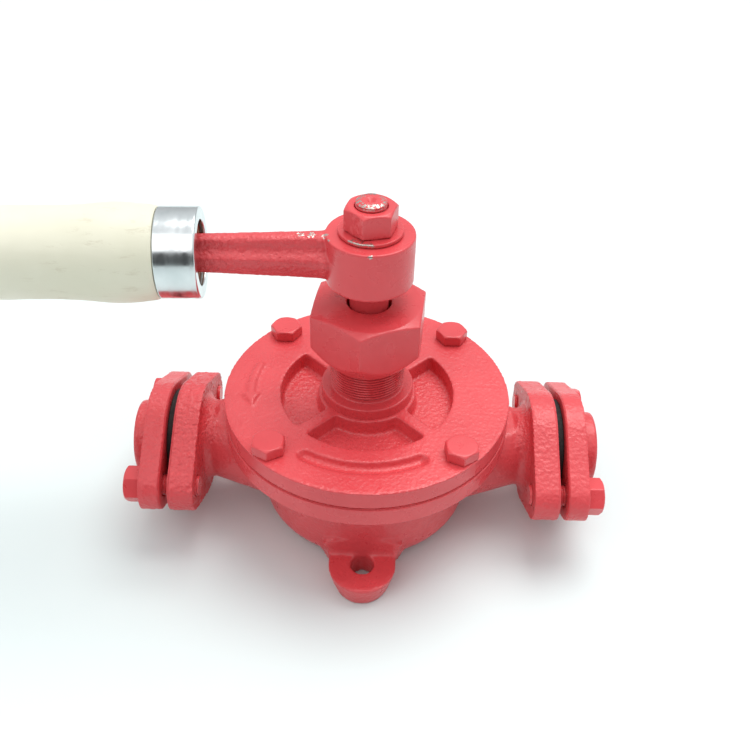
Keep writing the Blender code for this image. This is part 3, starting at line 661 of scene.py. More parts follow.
def handle_paint():
    """Cream paint on turned wood, scuffed, with the bare end grain inside the ferrule."""
    made = Finish("handle_paint")
    x = made.node("SeparateXYZ", {0: made.place}).outputs[0]
    tone = made.spread(made.noise(26.0, 4.0), 0.0, 1.0)
    paint = made.mix(tone, (0.74, 0.72, 0.57, 1.0), (0.82, 0.80, 0.66, 1.0))
    scuffs = made.noise(160.0, 5.0, (0.35, 1.0, 1.6), 0.75)
    patch = made.mapped(made.noise(17.0, 1.0), 0.52, 0.62, 0.0, 1.0)
    marks = made.math("MULTIPLY", made.mapped(scuffs, 0.58, 0.66, 0.0, 0.35), patch)
    paint = made.mix(marks, paint, (0.56, 0.50, 0.36, 1.0))
    rings = made.noise(420.0, 4.0, (1.0, 0.35, 1.0))
    wood = made.mix(rings, (0.25, 0.12, 0.06, 1.0), (0.50, 0.30, 0.17, 1.0))
    bare = made.mapped(x, -HANDLE_START - 0.0022, -HANDLE_START - 0.0014, 0.0, 1.0)
    colour = made.mix(bare, paint, wood)
    gloss = made.spread(made.noise(90.0, 3.0), 0.34, 0.52)
    brushed = made.bump(made.noise(240.0, 3.0, (0.25, 1.0, 1.0)), 0.00018, 0.35)
    normal = made.bump(made.math("SUBTRACT", 1.0, marks), 0.0002, 0.6, brushed)
    return made.link(colour=colour, roughness=gloss, normal=normal)


def turned_metal(name, dark, light, roughness):
    made = Finish(name)
    lines = made.noise(300.0, 4.0, (1.0, 1.0, 12.0))
    colour = made.mix(made.noise(80.0, 4.0), dark, light)
    gloss = made.spread(lines, roughness - 0.08, roughness + 0.12)
    normal = made.bump(lines, 0.00006, 0.5)
    return made.link(colour=colour, roughness=gloss, metallic=1.0, normal=normal)


def gasket_fibre():
    made = Finish("gasket_fibre")
    grain = made.noise(600.0, 4.0)
    colour = made.mix(grain, (0.006, 0.005, 0.005, 1.0), (0.022, 0.016, 0.016, 1.0))
    gloss = made.spread(grain, 0.65, 0.9)
    return made.link(colour=colour, roughness=gloss, normal=made.bump(grain, 0.0002, 0.6))


def braid():
    made = Finish("graphite_braid")
    plait = made.node("TexMagic", {"Vector": made.place, "Scale": 260.0, "Distortion": 1.5}).outputs[1]
    colour = made.mix(plait, (0.02, 0.02, 0.022, 1.0), (0.12, 0.12, 0.13, 1.0))
    gloss = made.mapped(plait, 0.0, 1.0, 0.45, 0.75)
    return made.link(colour=colour, roughness=gloss, normal=made.bump(plait, 0.0005, 0.8))


casting = red_enamel("casting_enamel", 0.00075)
machined = red_enamel("machined_enamel", 0.00022, 0.27)
turned = red_enamel("turned_enamel", 0.00018, 0.26, crease_shade_and_edge_highlight=False)
plate = bright_plate()
cream = handle_paint()
steel = turned_metal("turned_steel", (0.42, 0.41, 0.40, 1.0), (0.60, 0.60, 0.60, 1.0), 0.32)
brass = turned_metal("brass", (0.52, 0.36, 0.13, 1.0), (0.74, 0.55, 0.25, 1.0), 0.30)
raw_iron = turned_metal("cut_iron", (0.16, 0.15, 0.15, 1.0), (0.30, 0.29, 0.28, 1.0), 0.50)
gasket = gasket_fibre()
packing = braid()


# Casing ----------------------------------------------------------------------------------------


def radius_of(place):
    return math.hypot(place.x, place.y)


def bowl():
    foot = (BOWL_FOOT_RADIUS - BOWL_ROUNDING, BACK_PAD_HEIGHT + BOWL_ROUNDING)
    shelf = FLANGE_UNDERSIDE + 2.0 * MILLIMETRE
    flare = 4.0 * MILLIMETRE
    return lathe(
        [
            (0.0, REAR_BUSH_BOTTOM),
            (BUSH_RADIUS, REAR_BUSH_BOTTOM),
            (BUSH_RADIUS, CHAMBER_FLOOR),
            (CHAMBER_RADIUS, CHAMBER_FLOOR),
            (CHAMBER_RADIUS, shelf),
            (BOWL_RADIUS + flare, shelf),
            *arc(flare, math.pi / 2, math.pi, 6, (BOWL_RADIUS + flare, FLANGE_UNDERSIDE - flare)),
            *arc(BOWL_ROUNDING, 0.0, -math.pi / 2, 10, foot),
            (BACK_PAD_RADIUS + BACK_PAD_HEIGHT, BACK_PAD_HEIGHT),
            (BACK_PAD_RADIUS, 0.0),
            (0.0, 0.0),
        ],
        FINE,
    )


def neck():
    """The cone from the bowl to the oval flange, flared where it meets the flange."""
    flange_back = BODY_FACE - BODY_FLANGE_THICKNESS
    end = flange_back - NECK_FLARE
    end_radius = NECK_INNER_RADIUS - NECK_SLOPE * (end - NECK_INNER)
    flare = arc(NECK_FLARE, -math.pi, -1.5 * math.pi, 6, (end_radius + NECK_FLARE, end))
    inner = [(0.0, NECK_INNER), (NECK_INNER_RADIUS, NECK_INNER)]
    inside_flange = flange_back + MILLIMETRE
    return lathe([*inner, *flare, (flare[-1][0], inside_flange), (0.0, inside_flange)])


def oval_outline():
    """A middle circle and two ear circles, joined by their tangents."""
    tangent = math.acos((OVAL_MIDDLE_RADIUS - OVAL_EAR_RADIUS) / EAR_SPACING)
    return [
        *arc(OVAL_EAR_RADIUS, -tangent, tangent, 20, (EAR_SPACING, 0.0)),
        *arc(OVAL_MIDDLE_RADIUS, tangent, math.pi - tangent, 20),
        *arc(OVAL_EAR_RADIUS, math.pi - tangent, math.pi + tangent, 20, (-EAR_SPACING, 0.0)),
        *arc(OVAL_MIDDLE_RADIUS, math.pi + tangent, 2.0 * math.pi - tangent, 20),
    ]


def lug(end):
    """A lug with a round end, and a fillet on each side where it leaves the bowl."""
    fillet_x = LUG_RADIUS + LUG_FILLET
    fillet_y = math.sqrt((BOWL_FOOT_RADIUS + LUG_FILLET) ** 2 - fillet_x**2)
    lean = math.atan2(fillet_y, fillet_x)
    fillet = arc(LUG_FILLET, math.pi + lean, math.pi, 8, (fillet_x, fillet_y))
    rounded = arc(LUG_RADIUS, 0.0, math.pi, 24, (0.0, LUG_CENTRE))
    right = [(fillet[0][0], LUG_INNER_END), *fillet]
    left = [(-x, y) for x, y in reversed(right)]
    outline = [(x, end * y) for x, y in [*right, *rounded, *left]]
    foot = [(LUG_FOOT_WIDTH_SHARE * x, LUG_FOOT_LENGTH_SHARE * y, 0.0) for x, y in outline]
    return skin([foot, [(x, y, LUG_HEIGHT) for x, y in outline]])


def lug_facet(end):
    """The flat over a lug on the bowl's wall."""
    near, far = sorted((end * LUG_FACET, end * LUG_CENTRE))
    half = LUG_RADIUS + 0.6 * LUG_FILLET
    return block((-half, near, LUG_HEIGHT), (half, far, FLANGE_UNDERSIDE - 3.0 * MILLIMETRE))


def lug_hole(end):
    hole = drum(LUG_HOLE_RADIUS, -OVERRUN, LUG_HEIGHT + OVERRUN, SMALL)
    return moved(hole, Matrix.Translation((0.0, end * LUG_CENTRE, 0.0)))


def cover_bolt_places():
    turns = [math.radians(45.0 + 90.0 * index) for index in range(4)]
    return [Vector((*polar(BOLT_CIRCLE, turn), 0.0)) for turn in turns]


def cover_bolt_holes(low, high):
    bore = COVER_BOLT_RADIUS + GAP
    places = cover_bolt_places()
    return [moved(drum(bore, low, high, SMALL), Matrix.Translation(place)) for place in places]


def ear_holes(side, low, high):
    places = (-EAR_SPACING, EAR_SPACING)
    return [on_port(drum(FLANGE_BOLT_RADIUS + GAP, low, high, SMALL), side, at) for at in places]


def body_grain(place):
    """Strong on the flanges' edges and the necks, lighter on the bowl, none on the machined faces."""
    along = abs(place.x)
    if along > BODY_FACE - 0.6 * MILLIMETRE:
        return 0.05
    if along > BODY_FACE - BODY_FLANGE_THICKNESS - MILLIMETRE:
        return 1.0 if place.x < 0.0 else 0.55
    radius = radius_of(place)
    beside_facing = ramp(radius, FACING_RADIUS - 0.3 * MILLIMETRE, FACING_RADIUS + MILLIMETRE)
    above_port = (place.z - PORT_HEIGHT) / MILLIMETRE
    return 0.35 + 0.9 * ramp(above_port, 10.0, 16.0) * beside_facing


def body_flange(name, side):
    """A branch's rough oval flange with its two ear holes."""
    back = BODY_FACE - BODY_FLANGE_THICKNESS
    cuts = ear_holes(side, back - OVERRUN, BODY_FACE + OVERRUN)
    cuts.append(on_port(drum(PORT_RADIUS, back - OVERRUN, BODY_FACE + OVERRUN), side))
    shell = solid([on_port(prism(oval_outline(), back, BODY_FACE), side)], cuts)
    shell = softened(shell, voxel=0.00064, passes=2)
    cast_surface(shell, depth=0.00042, size=0.0017, rough=body_grain)
    piece(name + "_body_flange", shell, casting, "casing", "casing_enamel", "pump_body")


def lug_root(end):
    """Ties a lug to the back of the bowl, under the chamber's floor."""
    near, far = sorted((end * LUG_ROOT_START, end * LUG_ROOT_END))
    half = 0.9 * LUG_RADIUS
    return block((-half, near, 0.2 * MILLIMETRE), (half, far, CHAMBER_FLOOR - MILLIMETRE))


def lug_ramp(end):
    """A lug's top sweeps up into the bowl's wall, wider as it rises and lower at its sides."""
    foot = LUG_FACET + LUG_RAMP_REACH
    inside = end * (LUG_FACET - 2.0 * MILLIMETRE)
    bottom = LUG_HEIGHT - 2.0 * MILLIMETRE
    drop_at_sides = 0.35
    steps = 8
    rings = []
    for share in (-1.0, -0.8, -0.4, 0.0, 0.4, 0.8, 1.0):
        x = share * LUG_RAMP_HALF_WIDTH
        ring = [(x, inside, bottom), (x, end * foot, bottom)]
        lift = LUG_RAMP_RISE * (1.0 - drop_at_sides * share**2)
        for step in range(steps + 1):
            angle = math.pi / 2 * step / steps
            half = LUG_RAMP_HALF_WIDTH + LUG_RAMP_SPREAD * (1.0 - math.cos(angle))
            y = foot - LUG_RAMP_REACH * math.sin(angle)
            z = LUG_HEIGHT - 0.1 * MILLIMETRE + lift * (1.0 - math.cos(angle))
            ring.append((share * half, end * y, z))
        ring.append((share * (LUG_RAMP_HALF_WIDTH + LUG_RAMP_SPREAD), inside, ring[-1][2]))
        rings.append(ring)
    return skin(rings)


def casing():
    ports = on_port(drum(PORT_RADIUS, -BODY_FACE - OVERRUN, BODY_FACE + OVERRUN), 1)
    parts = [solid([bowl()], [lug_facet(-1), lug_facet(1), ports])]
    for side in SIDES.values():
        facing = drum(FACING_RADIUS, FACING_HEIGHT, BODY_TOP + OVERRUN, FINE)
        port = on_port(drum(PORT_RADIUS, 0.0, BODY_FACE + OVERRUN), side)
        parts.append(solid([on_port(neck(), side)], [facing, port]))
    for end in (-1, 1):
        parts += [solid([lug(end)], [lug_hole(end)]), lug_root(end), lug_ramp(end)]
    shell = softened(joined(*parts), voxel=0.00105, passes=3)
    cast_surface(shell, depth=0.00022, size=0.0036, rough=body_grain)
    piece("casing_bowl", shell, casting, "casing", "casing_enamel", "pump_body")
    rim = tube(FLANGE_RADIUS, CHAMBER_RADIUS + MILLIMETRE, FLANGE_UNDERSIDE, BODY_TOP)
    rim = eased(rim, radius=0.0005, closed=True)
    holes = cover_bolt_holes(FLANGE_UNDERSIDE - OVERRUN, BODY_TOP + OVERRUN)
    flange = solid([lathe(rim, FINE, closed=True)], holes)
    piece("casing_flange", flange, turned, "casing", "casing_enamel", "pump_body")


# Cover -----------------------------------------------------------------------------------------


def pocket(turn):
    """One of four pockets between the ribs, with rounded corners and a slight taper."""
    half_rib = RIB_WIDTH / 2
    outer = math.pi / 4 - math.asin(half_rib / POCKET_RADIUS)
    inner = math.pi / 4 - math.asin(half_rib / RING_RADIUS)
    outer_steps = 16
    inner_steps = 10
    outline = arc(POCKET_RADIUS, -outer, outer, outer_steps)
    outline += arc(RING_RADIUS, inner, -inner, inner_steps)
    ends = {0, outer_steps, outer_steps + 1, outer_steps + inner_steps + 1}
    rounding = 1.6 * MILLIMETRE
    points = []
    for index, point in enumerate(outline):
        if index not in ends:
            points.append(point)
            continue
        corner = Vector(point)
        before = Vector(outline[index - 1])
        after = Vector(outline[(index + 1) % len(outline)])
        start = corner + (before - corner).normalized() * rounding
        end = corner + (after - corner).normalized() * rounding
        middle = start.lerp(corner, 0.5).lerp(corner.lerp(end, 0.5), 0.5)
        points += [tuple(start), tuple(middle), tuple(end)]
    centre = Vector((sum(x for x, _ in points), sum(y for _, y in points))) / len(points)
    floor_share = 0.97
    mouth_share = 1.01
    rings = []
    for height, share in ((POCKET_FLOOR, floor_share), (COVER_TOP + 2.0 * MILLIMETRE, mouth_share)):
        rings.append([(*centre.lerp(Vector(point), share), height) for point in points])
    return moved(skin(rings), Matrix.Rotation(turn, 4, "Z"))


def band(radius, half_width, start, end):
    """An outline along an arc, with round ends."""
    return [
        *arc(radius + half_width, start, end, 30)[:-1],
        *arc(half_width, end, end + math.pi, 10, polar(radius, end))[:-1],
        *arc(radius - half_width, end, start, 30)[:-1],
        *arc(half_width, start + math.pi, start + 2.0 * math.pi, 10, polar(radius, start))[:-1],
    ]


def recess():
    """An arc-shaped recess whose sides slope, on the -Y side."""
    ends = (RECESS_MIDDLE - RECESS_HALF_ANGLE, RECESS_MIDDLE + RECESS_HALF_ANGLE)
    lower = band(RECESS_RADIUS - 1.2 * MILLIMETRE, 1.5 * MILLIMETRE, *ends)
    upper = band(RECESS_RADIUS, 4.1 * MILLIMETRE, *ends)
    top = COVER_TOP + 0.3 * MILLIMETRE
    return skin([[(x, y, RECESS_FLOOR) for x, y in lower], [(x, y, top) for x, y in upper]])


def flow_arrow():
    """A plain raised arrow along the cover's -X side."""
    low = COVER_TOP - MILLIMETRE
    line = band(ARROW_RADIUS, 1.6 * MILLIMETRE, ARROW_START, ARROW_NECK)
    corners = (
        (ARROW_RADIUS, ARROW_TIP),
        (ARROW_RADIUS + ARROW_HEAD_HALF_WIDTH, ARROW_NECK),
        (ARROW_RADIUS - ARROW_HEAD_HALF_WIDTH, ARROW_NECK),
    )
    head = [polar(*corner) for corner in corners]
    shank = prism(line, low, COVER_TOP + 1.3 * MILLIMETRE)
    return [shank, prism(head, low, COVER_TOP + 1.35 * MILLIMETRE)]


def cover_grain(place):
    """Rough on the cast faces, smooth on the turned rim and the spigot."""
    radius = radius_of(place)
    if place.z < COVER_TOP - 1.2 * MILLIMETRE and radius > COVER_RADIUS - MILLIMETRE:
        return 0.04
    if place.z < COVER_UNDERSIDE + 0.5 * MILLIMETRE:
        return 0.0
    floor = 1.0 - ramp(place.z, POCKET_FLOOR + MILLIMETRE, COVER_TOP - MILLIMETRE)
    return 0.40 + 0.45 * floor


def thread_groove_shade(place):
    """How deep a point lies between the stuffing box's thread ridges, where the enamel gets painted
    shade.
    """
    if place.z < THREAD_START:
        return 0.0
    return ramp(THREAD_RADIUS - radius_of(place), 0.2 * MILLIMETRE, 0.9 * MILLIMETRE)


def cover():
    plate_profile = [
        (BUSH_RADIUS, COVER_TOP),
        (COVER_RADIUS, COVER_TOP),
        (COVER_RADIUS, COVER_UNDERSIDE),
        (CHAMBER_RADIUS - GAP, COVER_UNDERSIDE),
        (CHAMBER_RADIUS - GAP, SPIGOT_FACE),
        (BUSH_RADIUS, SPIGOT_FACE),
    ]
    cuts = [pocket(number * math.pi / 2) for number in range(4)]
    cuts += [recess(), *cover_bolt_holes(SPIGOT_FACE - OVERRUN, COVER_TOP + OVERRUN)]
    disc = joined(solid([lathe(plate_profile, FINE, closed=True)], cuts), *flow_arrow())
    disc = softened(disc, voxel=0.00080, passes=2)
    cast_surface(disc, depth=0.00011, size=0.0022, rough=cover_grain)
    neck_profile = [
        (SHOULDER_RADIUS, SHOULDER_TOP),
        (SHOULDER_RADIUS, COVER_TOP - 2.0 * MILLIMETRE),
        (BUSH_RADIUS, COVER_TOP - 2.0 * MILLIMETRE),
        (BUSH_RADIUS, SHOULDER_TOP),
        (BOX_RADIUS, SHOULDER_TOP + 5.0 * MILLIMETRE),
        (BOX_RADIUS, BOX_TOP - 0.5 * MILLIMETRE),
        (RELIEF_RADIUS, BOX_TOP - 0.5 * MILLIMETRE),
        (RELIEF_RADIUS, SHOULDER_TOP),
    ]
    stuffing_box = lathe(eased(neck_profile, radius=0.0009, closed=True), FINE, closed=True)
    depth = 1.2 * MILLIMETRE
    core = RELIEF_RADIUS - MILLIMETRE
    thread = threaded(THREAD_RADIUS, depth, THREAD_PITCH, THREAD_START, BOX_TOP, core, FINE)
    piece("cover_casting", disc, casting, "casing", "casing_enamel", "front_cover")
    # Painted shade: the thread's grooves are stored as hollows, and the enamel paints them a darker
    # red.
    box = store_painted_shade(joined(stuffing_box, thread), thread_groove_shade)
    piece("stuffing_box", box, turned, "casing", "casing_enamel", "front_cover")


def cover_seal():
    low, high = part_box("cover_gasket")
    profile = tube(COVER_RADIUS - GAP, CHAMBER_RADIUS + GAP, low.z, high.z)
    piece("cover_seal", lathe(profile, FINE, closed=True), turned, "casing", "gasket", "cover_gasket")


# Ports -----------------------------------------------------------------------------------------


def companion_grain(place):
    """Rough on the cast sides, smooth on the machined faces."""
    along = abs(place.x)
    if along < COMPANION_FACE + 0.6 * MILLIMETRE or along > SOCKET_END - MILLIMETRE:
        return 0.05
    return 0.7 if place.x < 0.0 else 0.45


def companion(name, side):
    outer = COMPANION_FACE + COMPANION_THICKNESS
    corner = (SOCKET_OUTER_RADIUS - MILLIMETRE, SOCKET_END - MILLIMETRE)
    boss_profile = [
        (0.0, SOCKET_END),
        *arc(MILLIMETRE, math.pi / 2, 0.0, 4, corner),
        (SOCKET_OUTER_RADIUS, outer + 2.5 * MILLIMETRE),
        (SOCKET_OUTER_RADIUS + 0.7 * MILLIMETRE, outer + 0.7 * MILLIMETRE),
        (SOCKET_OUTER_RADIUS + 2.0 * MILLIMETRE, outer - MILLIMETRE),
        (0.0, outer - MILLIMETRE),
    ]
    plate_mesh = prism(oval_outline(), COMPANION_FACE, outer)
    adds = [on_port(plate_mesh, side), on_port(lathe(boss_profile), side)]
    bore = drum(SOCKET_RADIUS + MILLIMETRE, COMPANION_FACE - OVERRUN, SOCKET_END + OVERRUN)
    cuts = [on_port(bore, side), *ear_holes(side, COMPANION_FACE - OVERRUN, outer + OVERRUN)]
    shell = softened(solid(adds, cuts), voxel=0.00064, passes=2)
    cast_surface(shell, depth=0.00030, size=0.0019, rough=companion_grain)
    piece(name + "_companion", shell, casting, "casing", "casing_enamel", name + "_flange")
    depth = 1.1 * MILLIMETRE
    outside = SOCKET_RADIUS + 2.0 * MILLIMETRE
    low = COMPANION_FACE + 0.5 * MILLIMETRE
    high = SOCKET_END - 0.5 * MILLIMETRE
    thread = on_port(threaded(SOCKET_RADIUS + depth, depth, SOCKET_PITCH, low, high, outside), side)
    piece(name + "_pipe_thread", thread, raw_iron, "casing", "casing_enamel")
    ring = tube(JOINT_RING_RADIUS, SOCKET_RADIUS, BODY_FACE + GAP, COMPANION_FACE - GAP)
    ring_mesh = lathe(eased(ring, radius=0.0004, closed=True), closed=True)
    piece(name + "_joint_ring", on_port(ring_mesh, side), gasket, "casing", "gasket", name + "_gasket")


# Bolts -----------------------------------------------------------------------------------------


def forged_grain(_place):
    """A light, even grain for bolts and nuts."""
    return 0.22


def bolt(across, head, radius, length):
    """A hexagon bolt with its head on Z = 0 and its shank below."""
    washer_face = drum(0.47 * across, -0.2 * MILLIMETRE, 0.6 * MILLIMETRE)
    head_mesh = solid([hexagon(across, 0.0, head), washer_face])
    head_mesh = softened(head_mesh, voxel=0.00042, passes=1)
    cast_surface(head_mesh, depth=0.00010, size=0.0030, rough=forged_grain)
    shank = threaded(radius, 0.10 * radius, BOLT_PITCH, -length, head / 2, steps=SMALL)
    return head_mesh, shank


def screw(name, parts, matrix):
    head, shank = parts
    piece(name + "_head", moved(head, matrix), machined, "casing", "machined_enamel", name)
    piece(name + "_shank", moved(shank, matrix), machined, "casing", "machined_enamel", name)


def bolts():
    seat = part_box("cover_bolt_1")[1].z - COVER_BOLT_HEAD
    for number, (place, turn) in enumerate(zip(cover_bolt_places(), COVER_BOLT_TURNS), 1):
        parts = bolt(COVER_BOLT_ACROSS, COVER_BOLT_HEAD, COVER_BOLT_RADIUS, seat - COVER_BOLT_END)
        spin = Matrix.Rotation(math.radians(turn), 4, "Z")
        screw(f"cover_bolt_{number}", parts, Matrix.Translation((place.x, place.y, seat)) @ spin)
    seat = COMPANION_FACE + COMPANION_THICKNESS + GAP
    length = seat - FLANGE_BOLT_END
    ears = [(side, spacing) for side in (-1, 1) for spacing in (-EAR_SPACING, EAR_SPACING)]
    for number, ((side, spacing), turn) in enumerate(zip(ears, FLANGE_BOLT_TURNS), 1):
        parts = bolt(FLANGE_BOLT_ACROSS, FLANGE_BOLT_HEAD, FLANGE_BOLT_RADIUS, length)
        spin = Matrix.Rotation(math.radians(turn), 4, "Z")
        axis = port_matrix(side, spacing) @ Matrix.Translation((0.0, 0.0, seat))
        screw(f"flange_bolt_{number}", parts, axis @ spin)


# Gland and shaft -------------------------------------------------------------------------------


def gland_nut():
    corner = GLAND_NUT_ACROSS / math.sqrt(3.0)
    wide = corner + 2.0 * MILLIMETRE
    crown = GLAND_NUT_CROWN_RADIUS
    foot = GLAND_NUT_FOOT_RADIUS
    upper_slope = (GLAND_NUT_TOP - GLAND_NUT_CROWN_EDGE) / (corner - crown)
    lower_slope = (GLAND_NUT_FOOT_EDGE - GLAND_NUT_BOTTOM) / (corner - foot)
    outside = [
        (0.0, GLAND_NUT_TOP),
        (crown, GLAND_NUT_TOP),
        (wide, GLAND_NUT_TOP - upper_slope * (wide - crown)),
        (wide, GLAND_NUT_BOTTOM + lower_slope * (wide - foot)),
        (foot, GLAND_NUT_BOTTOM),
        (0.0, GLAND_NUT_BOTTOM),
    ]
    hexagonal = hexagonal_prism(corner, GLAND_NUT_BOTTOM, GLAND_NUT_TOP)
    blank = intersection(hexagonal, lathe(outside, FINE))
    cuts = [
        drum(GLAND_NUT_BORE, GLAND_NUT_BOTTOM - OVERRUN, GLAND_NUT_ROOF),
        drum(GLAND_NUT_HOLE, GLAND_NUT_ROOF - OVERRUN, GLAND_NUT_TOP + OVERRUN),
    ]
    mesh = softened(solid([blank], cuts), voxel=0.00055, passes=2)
    moved(mesh, Matrix.Rotation(math.radians(GLAND_NUT_TURN), 4, "Z"))
    cast_surface(mesh, depth=0.00010, size=0.0050, rough=forged_grain)
    piece("gland_nut_hexagon", mesh, machined, "gland_nut", "machined_enamel", "gland_nut")


def shaft():
    journal = [
        (0.0, SQUARE_BOTTOM),
        (SHAFT_RADIUS, SQUARE_BOTTOM),
        (SHAFT_RADIUS, SHAFT_BOTTOM),
        (0.0, SHAFT_BOTTOM),
    ]
    half = SQUARE_SIDE / 2
    square = block((-half, -half, SQUARE_BOTTOM - MILLIMETRE), (half, half, SQUARE_TOP))
    corners = drum(SHAFT_RADIUS, SQUARE_BOTTOM - 2.0 * MILLIMETRE, SHAFT_TOP)
    square = moved(intersection(square, corners), SWING)
    core = STUD_RADIUS - 0.5 * MILLIMETRE
    hole = 2.1 * MILLIMETRE
    end = [
        (0.0, SHAFT_TOP - 1.9 * MILLIMETRE),
        (0.9 * MILLIMETRE, SHAFT_TOP - 1.6 * MILLIMETRE),
        (hole, SHAFT_TOP - 0.1 * MILLIMETRE),
        (hole + 0.5 * MILLIMETRE, SHAFT_TOP),
        (core - 0.8 * MILLIMETRE, SHAFT_TOP),
        (core + 0.3 * MILLIMETRE, SHAFT_TOP - 0.9 * MILLIMETRE),
        (core, SHAFT_TOP - 1.6 * MILLIMETRE),
        (core, SQUARE_TOP - MILLIMETRE),
        (0.0, SQUARE_TOP - MILLIMETRE),
    ]
    stud = lathe(end)
    thread_end = SHAFT_TOP - 0.7 * MILLIMETRE
    depth = 0.6 * MILLIMETRE
    thread = threaded(STUD_RADIUS, depth, STUD_PITCH, SQUARE_TOP, thread_end, core - MILLIMETRE)
    painted = joined(lathe(eased(journal, radius=0.0004)), square, stud, thread)
    wear(painted, edge_spots(core - 0.3 * MILLIMETRE, SHAFT_TOP - 0.6 * MILLIMETRE, range(0, 360, 20)))
    piece("shaft_and_stud", painted, turned, "rotor", "steel", "shaft")


# Lever -----------------------------------------------------------------------------------------


def arm_section(along):
    """The arm's outline at a distance from the shaft: a ridge on top, hollow sides and a wide foot."""
    share = (along - ARM_START) / (ARM_END - ARM_START)
    flare_width, flare_length = ARM_FLARE_MM
    flare = flare_width * math.exp(-max(0.0, along - HUB_RADIUS) / (flare_length * MILLIMETRE))
    width, narrowing = ARM_HALF_WIDTH_MM
    depth, shallowing = ARM_HALF_DEPTH_MM
    half_wide = (width - narrowing * share + flare) * MILLIMETRE
    half_deep = (depth - shallowing * share) * MILLIMETRE
    centre = HANDLE_HEIGHT - ARM_SAG_MM * (1.0 - share) * MILLIMETRE
    right = ARM_OUTLINE[1:-1]
    left = [(-wide, deep) for wide, deep in reversed(right)]
    outline = [ARM_OUTLINE[0], *right, ARM_OUTLINE[-1], *left]
    return [(-along, half_wide * wide, centre + half_deep * deep) for wide, deep in outline]


def arm_grain(place):
    """Rough in the arm's groove, smooth on the hub's turned faces."""
    along = radius_of(place)
    on_arm = ramp(along, HUB_RADIUS + 0.3 * MILLIMETRE, HUB_RADIUS + 2.0 * MILLIMETRE)
    return 0.05 + 0.85 * on_arm


def lever():
    sections = 34
    length = ARM_INSIDE_FERRULE - ARM_START
    stations = [ARM_START + length * index / sections for index in range(sections + 1)]
    arm = skin([arm_section(along) for along in stations])
    upper = 0.5 * MILLIMETRE
    lower = 0.7 * MILLIMETRE
    hub = [
        (0.0, HUB_TOP),
        *arc(upper, math.pi / 2, 0.0, 4, (HUB_RADIUS - upper, HUB_TOP - upper)),
        *arc(lower, 0.0, -math.pi / 2, 4, (HUB_RADIUS - lower, HUB_BOTTOM + lower)),
        (0.0, HUB_BOTTOM),
    ]
    bore = drum(SHAFT_RADIUS + GAP, HUB_BOTTOM - OVERRUN, HUB_TOP + OVERRUN)
    mesh = softened(solid([lathe(hub, FINE), arm], [bore]), voxel=0.00055, passes=3)
    cast_surface(mesh, depth=0.00016, size=0.0022, rough=arm_grain)
    tang = drum(TANG_RADIUS, TANG_START, TANG_END, SMALL)
    mesh = joined(mesh, moved(tang, ALONG_HANDLE))
    moved(mesh, SWING)
    wear(mesh, LEVER_WORN_SPOTS)
    piece("lever_casting", mesh, casting, "rotor", "casing_enamel", "lever")


def lever_washer():
    profile = tube(WASHER_RADIUS, STUD_RADIUS + GAP, HUB_TOP + GAP, WASHER_TOP)
    mesh = lathe(eased(profile, radius=0.0005, closed=True), closed=True)
    wear(mesh, edge_spots(WASHER_RADIUS, WASHER_TOP - 0.4 * MILLIMETRE, range(232, 276, 4)))
    piece("washer", mesh, turned, "rotor", "machined_enamel", "lever_washer")


def lever_nut():
    blank = hexagon(LEVER_NUT_ACROSS, WASHER_TOP + GAP, LEVER_NUT_TOP, 0.2 * MILLIMETRE)
    hole = drum(STUD_RADIUS + GAP, WASHER_TOP - OVERRUN, LEVER_NUT_TOP + OVERRUN)
    mesh = softened(solid([blank], [hole]), voxel=0.00036, passes=2)
    cast_surface(mesh, depth=0.00008, size=0.0040, rough=lambda _place: 0.15)
    moved(mesh, Matrix.Rotation(math.radians(LEVER_NUT_TURN), 4, "Z"))
    piece("lever_nut_hexagon", mesh, machined, "rotor", "machined_enamel", "lever_nut")


def ferrule():
    bore = FERRULE_RADIUS - FERRULE_WALL
    lip = FERRULE_START + FERRULE_WALL
    profile = [
        (FERRULE_RADIUS, FERRULE_END),
        (FERRULE_RADIUS, FERRULE_START),
        (FERRULE_MOUTH_RADIUS, FERRULE_START),
        (FERRULE_MOUTH_RADIUS, lip),
        (bore, lip),
        (bore, FERRULE_END),
    ]
    mesh = lathe(eased(profile, radius=0.0009, closed=True), FINE, closed=True)
    moved(mesh, SWING @ ALONG_HANDLE)
    piece("handle_ferrule", mesh, plate, "rotor", "ferrule_plate", "ferrule")


def grip_radius(along):
    """The grip's radius at a distance from the ferrule's end, in metres."""
    mm = along / MILLIMETRE
    radius = GRIP_RADIUS_MM
    for height, middle, spread in GRIP_SWELLS_MM:
        radius += height * math.exp(-(((mm - middle) / spread) ** 2))
    depth, length = GRIP_SHOULDER_MM
    return (radius - depth * math.exp(-mm / length)) * MILLIMETRE


def handle():
    start = FERRULE_END + GAP
    grip_end = HANDLE_END - HANDLE_ROUNDING
    crowding = 1.3
    grip = []
    steps = 70
    for index in range(steps + 1):
        share = (index / steps) ** crowding
        z = start + (grip_end - start) * share
        grip.append((grip_radius(z - start), z))
    last = grip[-1][0]
    crown = []
    for index in range(1, 12):
        angle = math.pi / 2 * index / 12
        crown.append((last * math.cos(angle), grip_end + HANDLE_ROUNDING * math.sin(angle)))
    crown.append((0.0, HANDLE_END))
    tenon = FERRULE_RADIUS - FERRULE_WALL - GAP
    profile = [
        (0.0, TANG_END + MILLIMETRE),
        (TANG_RADIUS + GAP, TANG_END + MILLIMETRE),
        (TANG_RADIUS + GAP, HANDLE_MOUTH_END),
        (HANDLE_MOUTH_RADIUS, HANDLE_MOUTH_END - MILLIMETRE),
        (HANDLE_MOUTH_RADIUS, HANDLE_START),
        (tenon, HANDLE_START),
        (tenon, start),
        *grip,
        *crown,
    ]
    mesh = lathe(profile, FINE)
    moved(mesh, SWING @ ALONG_HANDLE)
    cast_surface(mesh, depth=0.00012, size=0.0180)
    piece("wooden_handle", mesh, cream, "rotor", "handle_paint", "handle")


# Inside ----------------------------------------------------------------------------------------


